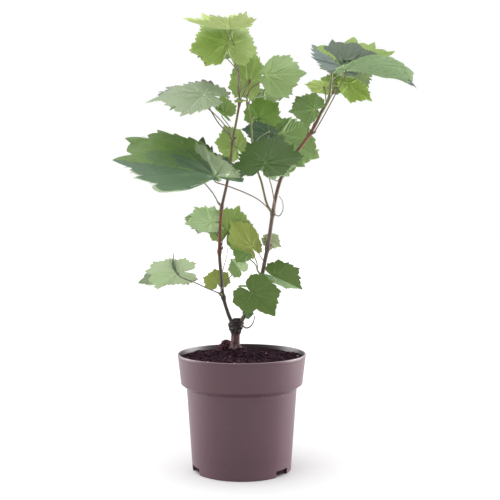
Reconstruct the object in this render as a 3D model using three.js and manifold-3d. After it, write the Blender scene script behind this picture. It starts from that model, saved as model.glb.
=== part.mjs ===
// A young grapevine in a round nursery pot: pot, soil, short knobbly trunk, two canes, a side shoot
// and masses of toothed leaves on thin stalks. Millimetres, +Z up, front towards -Y.
// The origin is the centre of the pot's flat underside.

import * as THREE from 'three';
import { mergeVertices } from 'three/addons/utils/BufferGeometryUtils.js';
import Module from 'manifold-3d';

const wasm = await Module();
wasm.setup();

// Pot
const POT_HEIGHT = 154;
const POT_RIM_RADIUS = 85;
const POT_BAND_FOOT_RADIUS = 80.7;
const POT_BAND_FOOT_HEIGHT = 114.7;
const POT_SHOULDER_RADIUS = 73.2;
const POT_SHOULDER_HEIGHT = 109;
const POT_FOOT_RADIUS = 65.6;
const POT_FOOT_ROUNDING = 1.5;
const POT_WALL = 2;
const POT_FLOOR = 2.6;
const POT_INNER_STEP = 1; // the step inside lies this much higher than outside
const POT_SEGMENTS = 48;
const DRAIN_ANGLES = [53, 173, 293]; // degrees round from the front towards +X
const DRAIN_WIDTH = 24;
const DRAIN_HEIGHT = 8.5;
const DRAIN_DEPTH = 14;

// Soil
const SOIL_HEIGHT = 149;
const SOIL_MOUND = 9;
const SOIL_MOUND_SPREAD = 30;
const SOIL_ROUGHNESS = 1.6;
const SOIL_RINGS = 5;
const SOIL_SEGMENTS = 32;
const SOIL_FACET_GAP = 0.25;

// Clearance between pieces that meet
const CLEARANCE = 0.3;
const LARGEST_SCRAP = 12; // mm3 that a cut may leave loose and that is dropped
const LEAST_DETAIL = 0.04; // edges and slivers finer than this are merged after a cut

// Trunk: the flat cut at ground level, the root flare, the shaft and the knobbly head
const TRUNK_FOOT = new THREE.Vector3(-8.6, 13, 155.5);
const TRUNK_TOP = new THREE.Vector3(-5.6, 11, 199);
const TRUNK_SIDES = 14;
const TRUNK_PROFILE = [ // share of the height, radius
  [0, 12.5], [0.07, 9.8], [0.14, 7.6], [0.22, 6.1], [0.34, 5.1], [0.48, 5.1],
  [0.56, 7.2], [0.67, 8.7], [0.8, 8.4], [0.9, 7], [0.97, 4.8],
];
const ROOT_RIDGES = 4;
const ROOT_RIDGE_DEPTH = 2.4;
const KNOB_DEPTH = 1.9;

// Canes: their centre lines run through these points, each named by the joint it passes
const LEFT_CANE = {
  line: [
    [-9, 11, 188], [-13.3, 10, 194], [-19.7, 8, 210], [-25.1, 6, 230], [-27.4, 4, 256],
    [-29.7, 3, 290], [-27.6, 3, 336], [-26.3, 3, 348], [-19.3, 4, 380], [-15.2, 5, 402],
    [-12.2, 6, 436], [-8.1, 7, 456], [-2.2, 8, 489],
  ],
  radii: [2.8, 1.5],
  joints: [0.14, 0.34, 0.53, 0.82, 0.985],
  sides: 6,
  segments: 14,
};
const RIGHT_CANE = {
  line: [
    [-3, 10, 190], [1.8, 9, 200], [13.4, 6, 217], [26, 2, 254], [30, 0, 274], [34.4, -2, 295],
    [41, -4, 340], [46, -3, 366], [52.5, -1, 387], [66, 2, 411], [83, 4, 434], [90, 4, 444],
    [97, 4, 456], [105.5, 4, 474],
  ],
  radii: [3.2, 1.9],
  joints: [0.22, 0.36, 0.51, 0.89],
  sides: 6,
  segments: 14,
};
const MIDDLE_SHOOT = {
  line: [
    [41, -4, 338], [33.8, -2, 350], [25.6, 4, 382], [21.5, 7, 394], [14.4, 9, 428],
    [11.9, 9, 460], [7, 9, 484],
  ],
  radii: [1.6, 1.1],
  joints: [0.62, 0.98],
  sides: 5,
  segments: 8,
};
const JOINT_SWELL = 0.45;
const JOINT_REACH = 5;

// Leaf: radius round the stalk's end, as a share of the midrib, at angles from the midrib
const LEAF_RADII = [[0, 1], [50, 0.9], [106, 0.76], [138, 0.64], [162, 0.46], [180, 0.08]];
const LOBE_GAPS = [[25, 13], [78, 14]]; // angle and half width of the dips between lobes
const TOOTH_TIPS = [24, 50, 77, 106, 138];
const LEAF_END_ANGLE = 163;
const TOOTH_DEPTH = 0.1;
const INNER_RING = 0.52;
const RINGED_LENGTH = 45;
const LEAF_THICKNESS = 0.0125;
const LEAST_THICKNESS = 0.75;
const STALK_RADIUS = 0.9;
const STALK_SIDES = 4;
const STALK_TURN = 6; // length over which it turns to meet the blade
const STALK_SLANT = 0.35; // how far it slants there
const STALK_LIFT = 0.5; // how far it leaves its stem upwards and to one side
const STALK_FIRST_BEND = 0.3; // share of its length
const STALK_SEGMENTS = 5;
const STALK_BEND_SEGMENTS = 2; // more for each point that a stalk is led through
const STEM_RADIUS = 1.5;
const STEM_TAPER = 0.3;
const STEM_SIDES = 5;

// Leaves on the far side: they spread out from the plant's middle
const PLANT_MIDDLE = 20; // X
const REAR_TURN = 0.7; // radians between the most a leaf may turn to either side
const REAR_FALL = [0.2, 0.55]; // least and most, as a share of the length
const REAR_FACE = [0.6, 0.8]; // outwards and upwards
const REAR_FOLD = 10; // most, in degrees
const REAR_DROOP = [15, 35]; // least and most, in degrees

const DEGREE = Math.PI / 180;

// Finishes
const FINISH = {
  pot: new THREE.MeshStandardMaterial({ color: 0x645055, roughness: 0.5, metalness: 0 }),
  soil: new THREE.MeshStandardMaterial({ color: 0x2e1f1c, roughness: 1, metalness: 0 }),
  bark: new THREE.MeshStandardMaterial({ color: 0x4f3c34, roughness: 0.9, metalness: 0 }),
  cane: new THREE.MeshStandardMaterial({ color: 0x6d4b3a, roughness: 0.7, metalness: 0 }),
  shoot: new THREE.MeshStandardMaterial({ color: 0x6f7a45, roughness: 0.6, metalness: 0 }),
  leaf: new THREE.MeshStandardMaterial({ color: 0x6f9448, roughness: 0.6, metalness: 0 }),
};

// A stream of random numbers from 0 to 1 that is the same each run.
function seeded(seed) {
  let state = seed >>> 0;
  return () => {
    state = (state + 0x6d2b79f5) >>> 0;
    let mixed = Math.imul(state ^ (state >>> 15), state | 1);
    mixed ^= mixed + Math.imul(mixed ^ (mixed >>> 7), mixed | 61);
    return ((mixed ^ (mixed >>> 14)) >>> 0) / 4294967296;
  };
}

// The value between the two stations round x, where each station is [x, value].
function between(stations, x) {
  const after = stations.findIndex(([at]) => at >= x);
  if (after === 0) return stations[0][1];
  if (after < 0) return stations[stations.length - 1][1];
  const [fromAt, from] = stations[after - 1];
  const [toAt, to] = stations[after];
  return from + ((to - from) * (x - fromAt)) / (toAt - fromAt);
}

function smooth(from, to, x) {
  const share = Math.min(Math.max((x - from) / (to - from), 0), 1);
  return share * share * (3 - 2 * share);
}

function mix([low, high], share) {
  return low + (high - low) * share;
}

function geometryFrom(positions, index) {
  const geometry = new THREE.BufferGeometry();
  geometry.setAttribute('position', new THREE.Float32BufferAttribute(positions, 3));
  geometry.setIndex(index);
  return geometry;
}

// A closed mesh as a solid that can be cut and joined.
function solidOf(geometry) {
  const bare = geometry.clone();
  bare.deleteAttribute('normal');
  bare.deleteAttribute('uv');
  const merged = mergeVertices(bare, 1e-4);
  return new wasm.Manifold(new wasm.Mesh({
    numProp: 3,
    vertProperties: new Float32Array(merged.attributes.position.array),
    triVerts: new Uint32Array(merged.index.array),
  }));
}

function geometryOf(solid) {
  const mesh = solid.getMesh();
  const geometry = geometryFrom(Array.from(mesh.vertProperties), Array.from(mesh.triVerts));
  geometry.computeVertexNormals();
  return geometry;
}

// The solid's largest piece, rid of slivers. A scrap above the allowed volume is an error.
function wholePiece(name, solid) {
  const pieces = solid.decompose().sort((a, b) => b.volume() - a.volume());
  pieces.slice(1).forEach((scrap) => {
    if (scrap.volume() > LARGEST_SCRAP) {
      throw new Error(`${name} falls apart: a piece of ${scrap.volume().toFixed(1)} mm3 is loose`);
    }
  });
  return pieces[0].asOriginal().simplify(LEAST_DETAIL);
}

// A closed ring-by-ring surface: rings of points with a centre point at either end.
function skin(rings, firstCentre, lastCentre) {
  const sides = rings[0].length;
  const positions = rings.flat().concat([firstCentre, lastCentre]).flatMap((p) => [p.x, p.y, p.z]);
  const first = rings.length * sides;
  const last = first + 1;
  const index = [];
  for (let j = 0; j < sides; j += 1) {
    const next = (j + 1) % sides;
    for (let i = 0; i < rings.length - 1; i += 1) {
      const low = i * sides;
      const high = low + sides;
      index.push(low + j, low + next, high + next, low + j, high + next, high + j);
    }
    index.push(first, next, j);
    index.push(last, first - sides + j, first - sides + next);
  }
  return geometryFrom(positions, index);
}

// Even stations from 0 to 1 along a curve.
function evenShares(segments) {
  return Array.from({ length: segments + 1 }, (_, i) => i / segments);
}

// A tube of changing radius along a curve, with a ring at each of the shares of its length.
function tube(curve, radiusAt, shares, sides) {
  const startTangent = curve.getTangentAt(0);
  const normal = Math.abs(startTangent.y) < 0.8
    ? new THREE.Vector3(0, 1, 0) : new THREE.Vector3(1, 0, 0);
  const rings = shares.map((share) => {
    const centre = curve.getPointAt(share);
    const tangent = curve.getTangentAt(share);
    normal.addScaledVector(tangent, -normal.dot(tangent)).normalize();
    const binormal = tangent.clone().cross(normal);
    const radius = radiusAt(share);
    return Array.from({ length: sides }, (_, j) => {
      const angle = (2 * Math.PI * j) / sides;
      return centre.clone()
        .addScaledVector(normal, Math.cos(angle) * radius)
        .addScaledVector(binormal, Math.sin(angle) * radius);
    });
  });
  return skin(rings, curve.getPointAt(0), curve.getPointAt(1));
}

// A cane or shoot as one tapering limb, thicker at its joints and grown by a clearance if asked.
function limb({ line, radii, joints, sides, segments }, grown = 0) {
  const points = line.map((p) => new THREE.Vector3(...p));
  const last = points.length - 1;
  const lead = points[0].clone().sub(points[1]).setLength(grown);
  const trail = points[last].clone().sub(points[last - 1]).setLength(grown);
  points[0].add(lead);
  points[last].add(trail);
  const curve = new THREE.CatmullRomCurve3(points, false, 'centripetal');
  const reach = JOINT_REACH / curve.getLength();
  const swellAt = (share) => joints.reduce(
    (sum, at) => sum + Math.max(0, 1 - Math.abs(share - at) / reach), 0,
  );
  const radiusAt = (share) => (
    (radii[0] + (radii[1] - radii[0]) * share) * (1 + JOINT_SWELL * swellAt(share)) + grown
  );
  const atJoints = joints.flatMap((at) => [at - reach, at, at + reach]);
  const clearOfJoints = evenShares(segments)
    .filter((share) => joints.every((at) => Math.abs(share - at) > 2 * reach));
  const inside = [...clearOfJoints, ...atJoints].filter((share) => share > 0 && share < 1);
  const shares = [0, ...inside.sort((a, b) => a - b), 1];
  return solidOf(tube(curve, radiusAt, shares, sides));
}

// Trunk: root flare with ridges, thin shaft, swollen head with knobs, and a flat cut below.
function trunkSolid(grown = 0) {
  const random = seeded(11);
  const knobs = Array.from({ length: 9 }, () => ({
    angle: random() * 2 * Math.PI,
    height: 0.6 + random() * 0.34,
    size: 0.5 + random() * 0.5,
  }));
  const rings = TRUNK_PROFILE.map(([share, radius]) => {
    const centre = TRUNK_FOOT.clone().lerp(TRUNK_TOP, share);
    const flare = 1 - smooth(0, 0.26, share);
    return Array.from({ length: TRUNK_SIDES }, (_, j) => {
      const angle = (2 * Math.PI * j) / TRUNK_SIDES;
      const ridge = ROOT_RIDGE_DEPTH * flare * Math.cos(ROOT_RIDGES * angle + 0.7);
      const knob = knobs.reduce((sum, { angle: at, height, size }) => {
        const turn = Math.cos(angle - at);
        const rise = (share - height) / 0.12;
        return sum + KNOB_DEPTH * size * Math.exp(3 * (turn - 1) - rise * rise);
      }, 0);
      const reach = radius + ridge + knob + grown;
      return new THREE.Vector3(
        centre.x + reach * Math.cos(angle),
        centre.y + reach * Math.sin(angle),
        centre.z - (share === 0 ? grown : 0),
      );
    });
  });
  const below = TRUNK_FOOT.clone().setZ(TRUNK_FOOT.z - grown);
  const above = TRUNK_TOP.clone().setZ(TRUNK_TOP.z + grown);
  return solidOf(skin(rings, below, above));
}

// Pot: one turned wall with a rim band, a chamfered step and drain notches at the foot.
function potSolid() {
  const foot = POT_FOOT_RADIUS;
  const profile = [
    [0, 0], [foot - POT_FOOT_ROUNDING, 0], [foot, POT_FOOT_ROUNDING],
    [POT_SHOULDER_RADIUS, POT_SHOULDER_HEIGHT], [POT_BAND_FOOT_RADIUS, POT_BAND_FOOT_HEIGHT],
    [POT_RIM_RADIUS, POT_HEIGHT - 1], [POT_RIM_RADIUS - 0.8, POT_HEIGHT],
    [POT_RIM_RADIUS - POT_WALL, POT_HEIGHT],
    [POT_BAND_FOOT_RADIUS - POT_WALL, POT_BAND_FOOT_HEIGHT + POT_INNER_STEP],
    [POT_SHOULDER_RADIUS - POT_WALL, POT_SHOULDER_HEIGHT + POT_INNER_STEP],
    [foot - POT_WALL, POT_FLOOR], [0, POT_FLOOR],
  ].map(([radius, height]) => new THREE.Vector2(radius, height));
  const turned = new THREE.LatheGeometry(profile, POT_SEGMENTS);
  turned.rotateX(Math.PI / 2);
  let pot = solidOf(turned);
  if (pot.volume() < 0) throw new Error('the pot is inside out');
  DRAIN_ANGLES.forEach((angle) => {
    const notch = new THREE.BoxGeometry(DRAIN_WIDTH, DRAIN_DEPTH, 2 * DRAIN_HEIGHT);
    notch.translate(0, -foot, 0);
    notch.rotateZ(angle * DEGREE);
    pot = pot.subtract(solidOf(notch));
  });
  return pot;
}

// Height of the soil's surface: level, with a mound round the trunk and small lumps.
function soilHeight(x, y, lump) {
  const away = Math.hypot(x - TRUNK_FOOT.x, y - TRUNK_FOOT.y) / SOIL_MOUND_SPREAD;
  return SOIL_HEIGHT + SOIL_MOUND * Math.exp(-away * away) + SOIL_ROUGHNESS * (lump - 0.5);
}

// Soil: fills the pot, clear of its wall, with a pocket for the trunk's foot.
function soilSolid() {
  const random = seeded(5);
  const gap = POT_WALL + CLEARANCE + SOIL_FACET_GAP;
  const shoulder = POT_SHOULDER_HEIGHT + POT_INNER_STEP + CLEARANCE;
  const band = POT_BAND_FOOT_HEIGHT + POT_INNER_STEP + CLEARANCE;
  const wallAt = (height) => between([
    [POT_FLOOR, POT_FOOT_RADIUS - gap], [shoulder, POT_SHOULDER_RADIUS - gap],
    [band, POT_BAND_FOOT_RADIUS - gap], [POT_HEIGHT, POT_RIM_RADIUS - gap],
  ], height);
  const ringAt = (radius, height) => Array.from({ length: SOIL_SEGMENTS }, (_, j) => {
    const angle = (2 * Math.PI * j) / SOIL_SEGMENTS;
    const x = radius * Math.cos(angle);
    const y = radius * Math.sin(angle);
    return new THREE.Vector3(x, y, height ?? soilHeight(x, y, random()));
  });
  const bottom = POT_FLOOR + CLEARANCE;
  const rings = [bottom, shoulder, band]
    .map((height) => ringAt(wallAt(height), height));
  for (let i = 0; i < SOIL_RINGS; i += 1) {
    rings.push(ringAt(wallAt(SOIL_HEIGHT) * (1 - i / SOIL_RINGS)));
  }
  const centre = new THREE.Vector3(0, 0, soilHeight(0, 0, 0.5));
  const filled = solidOf(skin(rings, new THREE.Vector3(0, 0, bottom), centre));
  return wholePiece('soil', filled.subtract(trunkSolid(CLEARANCE)));
}

// Radius of a leaf's edge as a share of its midrib, without its teeth.
function leafRadius(angle, leaf) {
  const turned = Math.abs(angle);
  const dip = LOBE_GAPS.reduce(
    (sum, [at, width]) => sum + Math.exp(-(((turned - at) / width) ** 2)), 0,
  );
  const half = angle > 0 ? 0 : 1;
  const [from, full] = leaf.shoulder[half];
  const shrink = 1 + (leaf.base[half] - 1) * smooth(from, full, turned);
  return (between(LEAF_RADII, turned) - leaf.cut[half] * dip) * shrink;
}

// Points round a leaf's edge as [angle, radius], tooth tips and the notches between them.
function leafEdge(leaf, random) {
  const half = (side) => {
    const points = [];
    let before = 0;
    TOOTH_TIPS.forEach((tip) => {
      const notch = (before + tip) / 2;
      const depth = TOOTH_DEPTH * (0.7 + 0.6 * random());
      points.push([side * notch, leafRadius(notch * side, leaf) * (1 - depth)]);
      points.push([side * tip, leafRadius(tip * side, leaf)]);
      before = tip;
    });
    points.push([side * LEAF_END_ANGLE, leafRadius(LEAF_END_ANGLE * side, leaf)]);
    return points;
  };
  return [[0, 1], ...half(1), [180, leafRadius(180, leaf)], ...half(-1).reverse()];
}

// The axes of a leaf: along the midrib where it starts, across it, and off the upper face.
function leafAxes(leaf) {
  const chord = new THREE.Vector3(...leaf.tip);
  const bend = leaf.droop * DEGREE;
  const length = chord.length() * (Math.abs(bend) > 1e-3 ? bend / 2 / Math.sin(bend / 2) : 1);
  chord.normalize();
  const face = new THREE.Vector3(...leaf.face);
  face.addScaledVector(chord, -face.dot(chord)).normalize();
  const along = chord.clone().multiplyScalar(Math.cos(bend / 2))
    .addScaledVector(face, Math.sin(bend / 2));
  const off = face.clone().multiplyScalar(Math.cos(bend / 2))
    .addScaledVector(chord, -Math.sin(bend / 2));
  return { along, off, across: off.clone().cross(along), length };
}

// Where a point of the flat leaf goes: halves folded, edge waved, midrib drooping.
function leafPoint(leaf, axes, phase, angle, radius) {
  const { length } = axes;
  const u = radius * Math.cos(angle * DEGREE);
  const broad = angle > 0 ? leaf.broad[0] : leaf.broad[1];
  const v = radius * Math.sin(angle * DEGREE) * broad;
  const fold = leaf.fold * DEGREE;
  const out = v * length * Math.cos(fold);
  const raised = Math.abs(v) * length * Math.sin(fold);
  const ripple = leaf.wave * length * radius * radius * Math.sin(leaf.waves * angle * DEGREE + phase);
  const height = raised + ripple;
  const bend = leaf.droop * DEGREE;
  const reach = u * length;
  const turn = bend * u;
  const bends = Math.abs(bend) > 1e-3;
  const ahead = bends ? (length / bend) * Math.sin(turn) : reach;
  const sunk = bends ? (length / bend) * (1 - Math.cos(turn)) : 0;
  return new THREE.Vector3(...leaf.at)
    .addScaledVector(axes.along, ahead + height * Math.sin(turn))
    .addScaledVector(axes.across, out)
    .addScaledVector(axes.off, height * Math.cos(turn) - sunk);
}

// A leaf blade: a thin closed plate in the leaf's own outline, a long one with a ring inside.
function blade(leaf, random) {
  const axes = leafAxes(leaf);
  const phase = random() * 2 * Math.PI;
  const edge = leafEdge(leaf, random);
  const half = Math.max(LEAF_THICKNESS * axes.length, LEAST_THICKNESS) / 2;
  const place = (angle, radius, side) => {
    const here = leafPoint(leaf, axes, phase, angle, radius);
    const outward = leafPoint(leaf, axes, phase, angle, radius + 0.02).sub(here);
    const round = leafPoint(leaf, axes, phase, angle + 4, radius)
      .sub(leafPoint(leaf, axes, phase, angle - 4, radius));
    return here.addScaledVector(outward.cross(round).normalize(), side * half);
  };
  const ringed = axes.length > RINGED_LENGTH;
  const inner = ringed ? edge.filter((_, j) => j % 2 === 0) : [];
  const layer = (side) => [
    new THREE.Vector3(...leaf.at).addScaledVector(axes.off, side * half),
    ...inner.map(([angle, radius]) => place(angle, radius * INNER_RING, side)),
    ...edge.map(([angle, radius]) => place(angle, radius, side)),
  ];
  const positions = [...layer(1), ...layer(-1)].flatMap((p) => [p.x, p.y, p.z]);
  const count = edge.length;
  const rim = 1 + inner.length;
  const below = rim + count;
  const upper = [];
  inner.forEach((_, i) => {
    const here = 1 + i;
    const next = 1 + ((i + 1) % inner.length);
    const outer = rim + 2 * i;
    const outerNext = rim + ((2 * i + 2) % count);
    upper.push([0, here, next], [here, outer, outer + 1], [here, outer + 1, next]);
    upper.push([next, outer + 1, outerNext]);
  });
  const index = [];
  for (let j = 0; j < count; j += 1) {
    const here = rim + j;
    const next = rim + ((j + 1) % count);
    if (!ringed) upper.push([0, here, next]);
    index.push(here, below + here, below + next, here, below + next, next);
  }
  upper.forEach(([a, b, c]) => index.push(a, b, c, below + a, below + c, below + b));
  return solidOf(geometryFrom(positions, index));
}

// A leaf's stalk: leaves the stem towards the blade and ends inside it, coming from the side of
// the blade that the stalk is on, so that it never runs through the blade.
function stalk(leaf, start, random) {
  const axes = leafAxes(leaf);
  const end = new THREE.Vector3(...leaf.at);
  const way = end.clone().sub(start);
  const distance = way.length();
  way.normalize();
  const sideways = new THREE.Vector3(random() - 0.5, random() - 0.5, 0.6 + 0.4 * random());
  const leave = way.clone().multiplyScalar(0.8).addScaledVector(sideways, STALK_LIFT);
  const via = leaf.via.map((p) => new THREE.Vector3(...p));
  const last = via.length > 0 ? via[via.length - 1] : start;
  const side = end.clone().sub(last).dot(axes.off) < 0 ? -1 : 1;
  const arrive = way.clone().multiplyScalar(STALK_SLANT)
    .addScaledVector(axes.off, side).normalize();
  const middle = via.length > 0 ? via : [
    start.clone().addScaledVector(leave, STALK_FIRST_BEND * distance),
  ];
  const before = end.clone().addScaledVector(arrive, -Math.min(0.25 * distance, STALK_TURN));
  const curve = new THREE.CatmullRomCurve3([start, ...middle, before, end], false, 'centripetal');
  const radius = STALK_RADIUS * leaf.stalk;
  const shares = evenShares(STALK_SEGMENTS + STALK_BEND_SEGMENTS * via.length);
  return solidOf(tube(curve, () => radius, shares, STALK_SIDES));
}

const LEAF_DEFAULTS = {
  fold: 0, droop: 10, wave: 0.03, waves: 3, via: [], on: 1, stalk: 1,
  broad: [1, 1], base: [1, 1], cut: [0.09, 0.09], // left and right half, from the upper face
  shoulder: [[55, 115], [55, 115]], // angles over which the basal lobes take their own size
};

// A leaf on the far side: it grows out from the plant's middle, drooping, with a seeded turn.
function rearLeaf({ length, ...row }, random) {
  const out = Math.atan2(row.at[1], row.at[0] - PLANT_MIDDLE) + (random() - 0.5) * REAR_TURN;
  return {
    ...row,
    tip: [length * Math.cos(out), length * Math.sin(out), -length * mix(REAR_FALL, random())],
    face: [Math.cos(out) * REAR_FACE[0], Math.sin(out) * REAR_FACE[0], REAR_FACE[1]],
    fold: REAR_FOLD * random(),
    droop: mix(REAR_DROOP, random()),
  };
}

// A mass of foliage: one stem with leaves on stalks, fused, and cut clear of the limbs.
function foliage(name, { seed, stem, leaves = [], rear = [] }, limbs) {
  const random = seeded(seed);
  const points = stem.map((p) => new THREE.Vector3(...p));
  const line = points.length > 2
    ? new THREE.CatmullRomCurve3(points, false, 'centripetal')
    : new THREE.LineCurve3(points[0], points[1]);
  const radiusAt = (share) => STEM_RADIUS * (1 - STEM_TAPER * share);
  const shares = evenShares(points.length > 2 ? 2 * (points.length - 1) : 1);
  const pieces = [solidOf(tube(line, radiusAt, shares, STEM_SIDES))];
  const hidden = rear.map((row) => rearLeaf(row, random));
  [...leaves, ...hidden].forEach((row) => {
    const leaf = { ...LEAF_DEFAULTS, ...row };
    pieces.push(stalk(leaf, line.getPointAt(leaf.on), random));
    pieces.push(blade(leaf, random));
  });
  const joined = pieces.reduce((sum, piece) => sum.add(piece));
  const clear = limbs.reduce((left, grownLimb) => left.subtract(grownLimb), joined);
  return wholePiece(name, clear);
}

// Masses: the stem's points, and for each leaf the end of its stalk (at), the way to its tip
// (tip) and the way its upper face looks (face).
const MASSES = {
  top_left_leaves: {
    seed: 21,
    stem: [[-2.2, 8, 488], [-4.6, 8, 503], [-4.6, 8, 528], [-7.7, 7, 545]],
    leaves: [
      { at: [-14.4, -6, 579], tip: [-63, -14, 8], face: [0.05, -0.2, 1], fold: 24, droop: -16 },
      {
        at: [-18.5, 7, 564], tip: [-4, 46, 40], face: [0.1, -0.62, 0.79], on: 0.05,
        droop: 30, broad: [0.86, 0.72], base: [1.35, 1.25],
      },
      { at: [9, 27, 514], tip: [10, 6, 46], face: [-0.2, -0.9, 0.2], on: 0.1, broad: [0.8, 0.5] },
      { at: [0, -4, 487], tip: [-9, -7, -4], face: [0, -0.3, 1], on: 0.02 },
    ],
    rear: [{ at: [-28, 66, 566], length: 46, on: 0.4 }],
  },
  left_upper_leaves: {
    seed: 22,
    stem: [[-12.2, 6, 436], [-15.5, 2, 442]],
    leaves: [
      {
        at: [-48.5, -20, 492], tip: [-74, -15, -15], face: [-0.1, -0.55, 0.85], droop: 30,
        broad: [1.1, 0.7], base: [0.6, 1.22], via: [[-30, -6, 457], [-42, -14, 476]],
      },
      { at: [-23.5, -7, 470], tip: [-20, -8, 15], face: [-0.2, -0.7, 0.6], fold: 40, stalk: 0.8 },
    ],
    rear: [{ at: [-60, 50, 494], length: 46, via: [[-24, 16, 458], [-44, 34, 479]] }],
  },
  left_lit_leaf: {
    seed: 23,
    stem: [[-12.4, 6, 433], [-11, 12, 431]],
    leaves: [
      { at: [-7, 22, 428], tip: [-17, 3, 30], face: [0.1, -0.9, 0.3], broad: [1, 0.7] },
    ],
  },
  left_rear_leaf: {
    seed: 24,
    stem: [[-26.3, 3, 348], [-31, -1, 353]],
    leaves: [
      {
        at: [-58, 12, 388], tip: [6, 14, 54], face: [0, -0.95, 0.2], broad: [0.9, 0.7],
        base: [0.3, 0.4],
      },
    ],
  },
  big_left_leaf: {
    seed: 25,
    stem: [[41, -4, 341], [36, -9, 345]],
    leaves: [
      {
        at: [-33.3, -45, 385.3], tip: [-126, -30, 21], face: [-0.15, -0.55, 0.82], droop: 16,
        fold: 4, cut: [0.06, -0.02], broad: [1.15, 0.84], base: [0.12, 0.72],
        shoulder: [[42, 60], [46, 88]],
        via: [[22, -20, 357], [4, -32, 366], [-17, -40, 374]],
      },
    ],
  },
  centre_leaf: {
    seed: 26,
    stem: [[42, -4, 343], [43, -9, 350]],
    leaves: [
      {
        at: [30.4, -28, 404], tip: [24, 38, 40], face: [-0.15, -0.8, 0.6], fold: -8,
        base: [1, 0.8],
      },
    ],
  },
  middle_top_leaves: {
    seed: 27,
    stem: [[7, 9, 483], [7, 9, 494]],
    leaves: [
      {
        at: [33, -6, 519.6], tip: [52, -6, 1], face: [0, -0.85, 0.5], fold: -8,
        base: [0.42, 0.42], shoulder: [[70, 112], [70, 112]],
      },
    ],
  },
  rear_left_leaf: {
    seed: 41,
    stem: [[-19.3, 4, 380], [-20, 11, 384]],
    rear: [{ at: [-56, 80, 408], length: 56 }],
  },
  rear_middle_leaf: {
    seed: 42,
    stem: [[8.6, 9, 475], [9, 15, 478]],
    rear: [{ at: [30, 66, 508], length: 54 }],
  },
  rear_right_leaves: {
    seed: 43,
    stem: [[52, -1, 386], [52, 7, 387]],
    rear: [
      { at: [70, 102, 424], length: 54, via: [[58, 50, 390]] },
      { at: [32, 90, 412], length: 44, via: [[46, 46, 384]] },
    ],
  },
  rear_low_leaf: {
    seed: 44,
    stem: [[16, 5, 225], [16, 12, 228]],
    rear: [{ at: [20, 52, 239], length: 32 }],
  },
  head_sprout: {
    seed: 45,
    stem: [[-1, 6, 196], [2, 3, 203]],
    leaves: [
      { at: [7, -2, 207], tip: [9, -1, 8], face: [-0.3, -0.8, 0.5], stalk: 0.7 },
    ],
  },
  middle_dark_leaf: {
    seed: 28,
    stem: [[12, 9, 456], [13, 15, 459]],
    leaves: [
      { at: [23, 58, 469], tip: [28, 6, 24], face: [-0.1, -0.9, 0.3], base: [0.9, 0.7] },
    ],
  },
  middle_folded_leaf: {
    seed: 29,
    stem: [[14.4, 9, 429], [18, 14, 431]],
    leaves: [
      {
        at: [37, 34, 447], tip: [-38, -2, 5], face: [0, -0.8, 0.6], broad: [0.9, 0.7],
        base: [0.7, 0.7],
      },
    ],
  },
  right_inner_leaves: {
    seed: 30,
    stem: [[66, 2, 411], [65, 9, 414]],
    leaves: [
      {
        at: [47, 58, 446], tip: [60, 10, -30], face: [0.1, -0.9, 0.35], broad: [0.85, 1],
        base: [0.6, 0.8],
      },
    ],
  },
  right_front_leaf: {
    seed: 31,
    stem: [[90, 4, 444], [87, -2, 448]],
    leaves: [
      { at: [94, -14, 474], tip: [-34, -6, -4], face: [0, -0.85, 0.5], base: [0.4, 1.1] },
    ],
  },
  right_outer_leaf: {
    seed: 32,
    stem: [[90, 4, 443], [95, -1, 445]],
    leaves: [
      {
        at: [134.5, -20, 525], tip: [91, -8, -26], face: [0.05, 0.1, 1], droop: 48, cut: [0, 0],
        broad: [0.5, 0.95], base: [0.35, 0.3], shoulder: [[45, 85], [45, 85]],
        via: [[107, -10, 466], [124, -16, 498]],
      },
    ],
  },
  right_top_leaves: {
    seed: 33,
    stem: [[105.5, 4, 473], [114.5, 4, 490], [117, 4, 509], [118.7, 4, 527]],
    leaves: [
      {
        at: [135, 22, 535], tip: [20, 54, 50], face: [-0.05, -0.65, 0.75], on: 0.6,
        broad: [1, 1.2], base: [0.5, 0.5],
      },
      {
        at: [141, 21, 513], tip: [32, -7, -26], face: [0.3, -0.75, 0.5], on: 0.5,
        base: [0.5, 0.6], broad: [0.65, 0.95],
      },
      { at: [122, 22, 505], tip: [3, 8, 25], face: [0, -0.9, 0.3], on: 0.4, base: [0.6, 0.6] },
      { at: [109, 18, 507], tip: [-26, 2, 4], face: [0, -0.9, 0.3], on: 0.2, broad: [0.55, 0.5] },
    ],
    rear: [{ at: [136, 60, 536], length: 48, on: 0.45 }],
  },
  left_middle_leaves: {
    seed: 34,
    stem: [[-29.7, 3, 292], [-27, 9, 297]],
    leaves: [
      { at: [-41.4, 12, 327], tip: [-35, -6, -2], face: [-0.1, -0.85, 0.4], broad: [0.65, 1] },
      { at: [-18.4, 16, 314], tip: [15, 6, 36], face: [0, -0.9, 0.3] },
    ],
    rear: [{ at: [-54, 46, 339], length: 28 }],
  },
  low_left_leaves: {
    seed: 35,
    stem: [[-25.1, 6, 229], [-29, 1, 233]],
    leaves: [
      {
        at: [-83, -20, 262], tip: [-51, -12, -12], face: [0, 0.75, 0.65], droop: 20,
        broad: [0.7, 0.65], via: [[-44, -6, 240], [-62, -13, 249]],
      },
      { at: [-3, -6, 266], tip: [-12, -2, 14], face: [0, -0.9, 0.3], stalk: 0.8 },
    ],
  },
  low_left_small_leaf: {
    seed: 36,
    stem: [[-25.8, 6, 236], [-26, 12, 240]],
    leaves: [
      { at: [-33, 13, 247], tip: [-4, 6, 18], face: [0, -0.9, 0.3], broad: [1.3, 1.3] },
    ],
  },
  low_right_leaves: {
    seed: 37,
    stem: [[26, 2, 254], [26, -5, 257]],
    leaves: [
      {
        at: [43.5, -10, 256], tip: [36, -10, -16], face: [0.1, -0.75, 0.6], on: 0.7,
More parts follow.
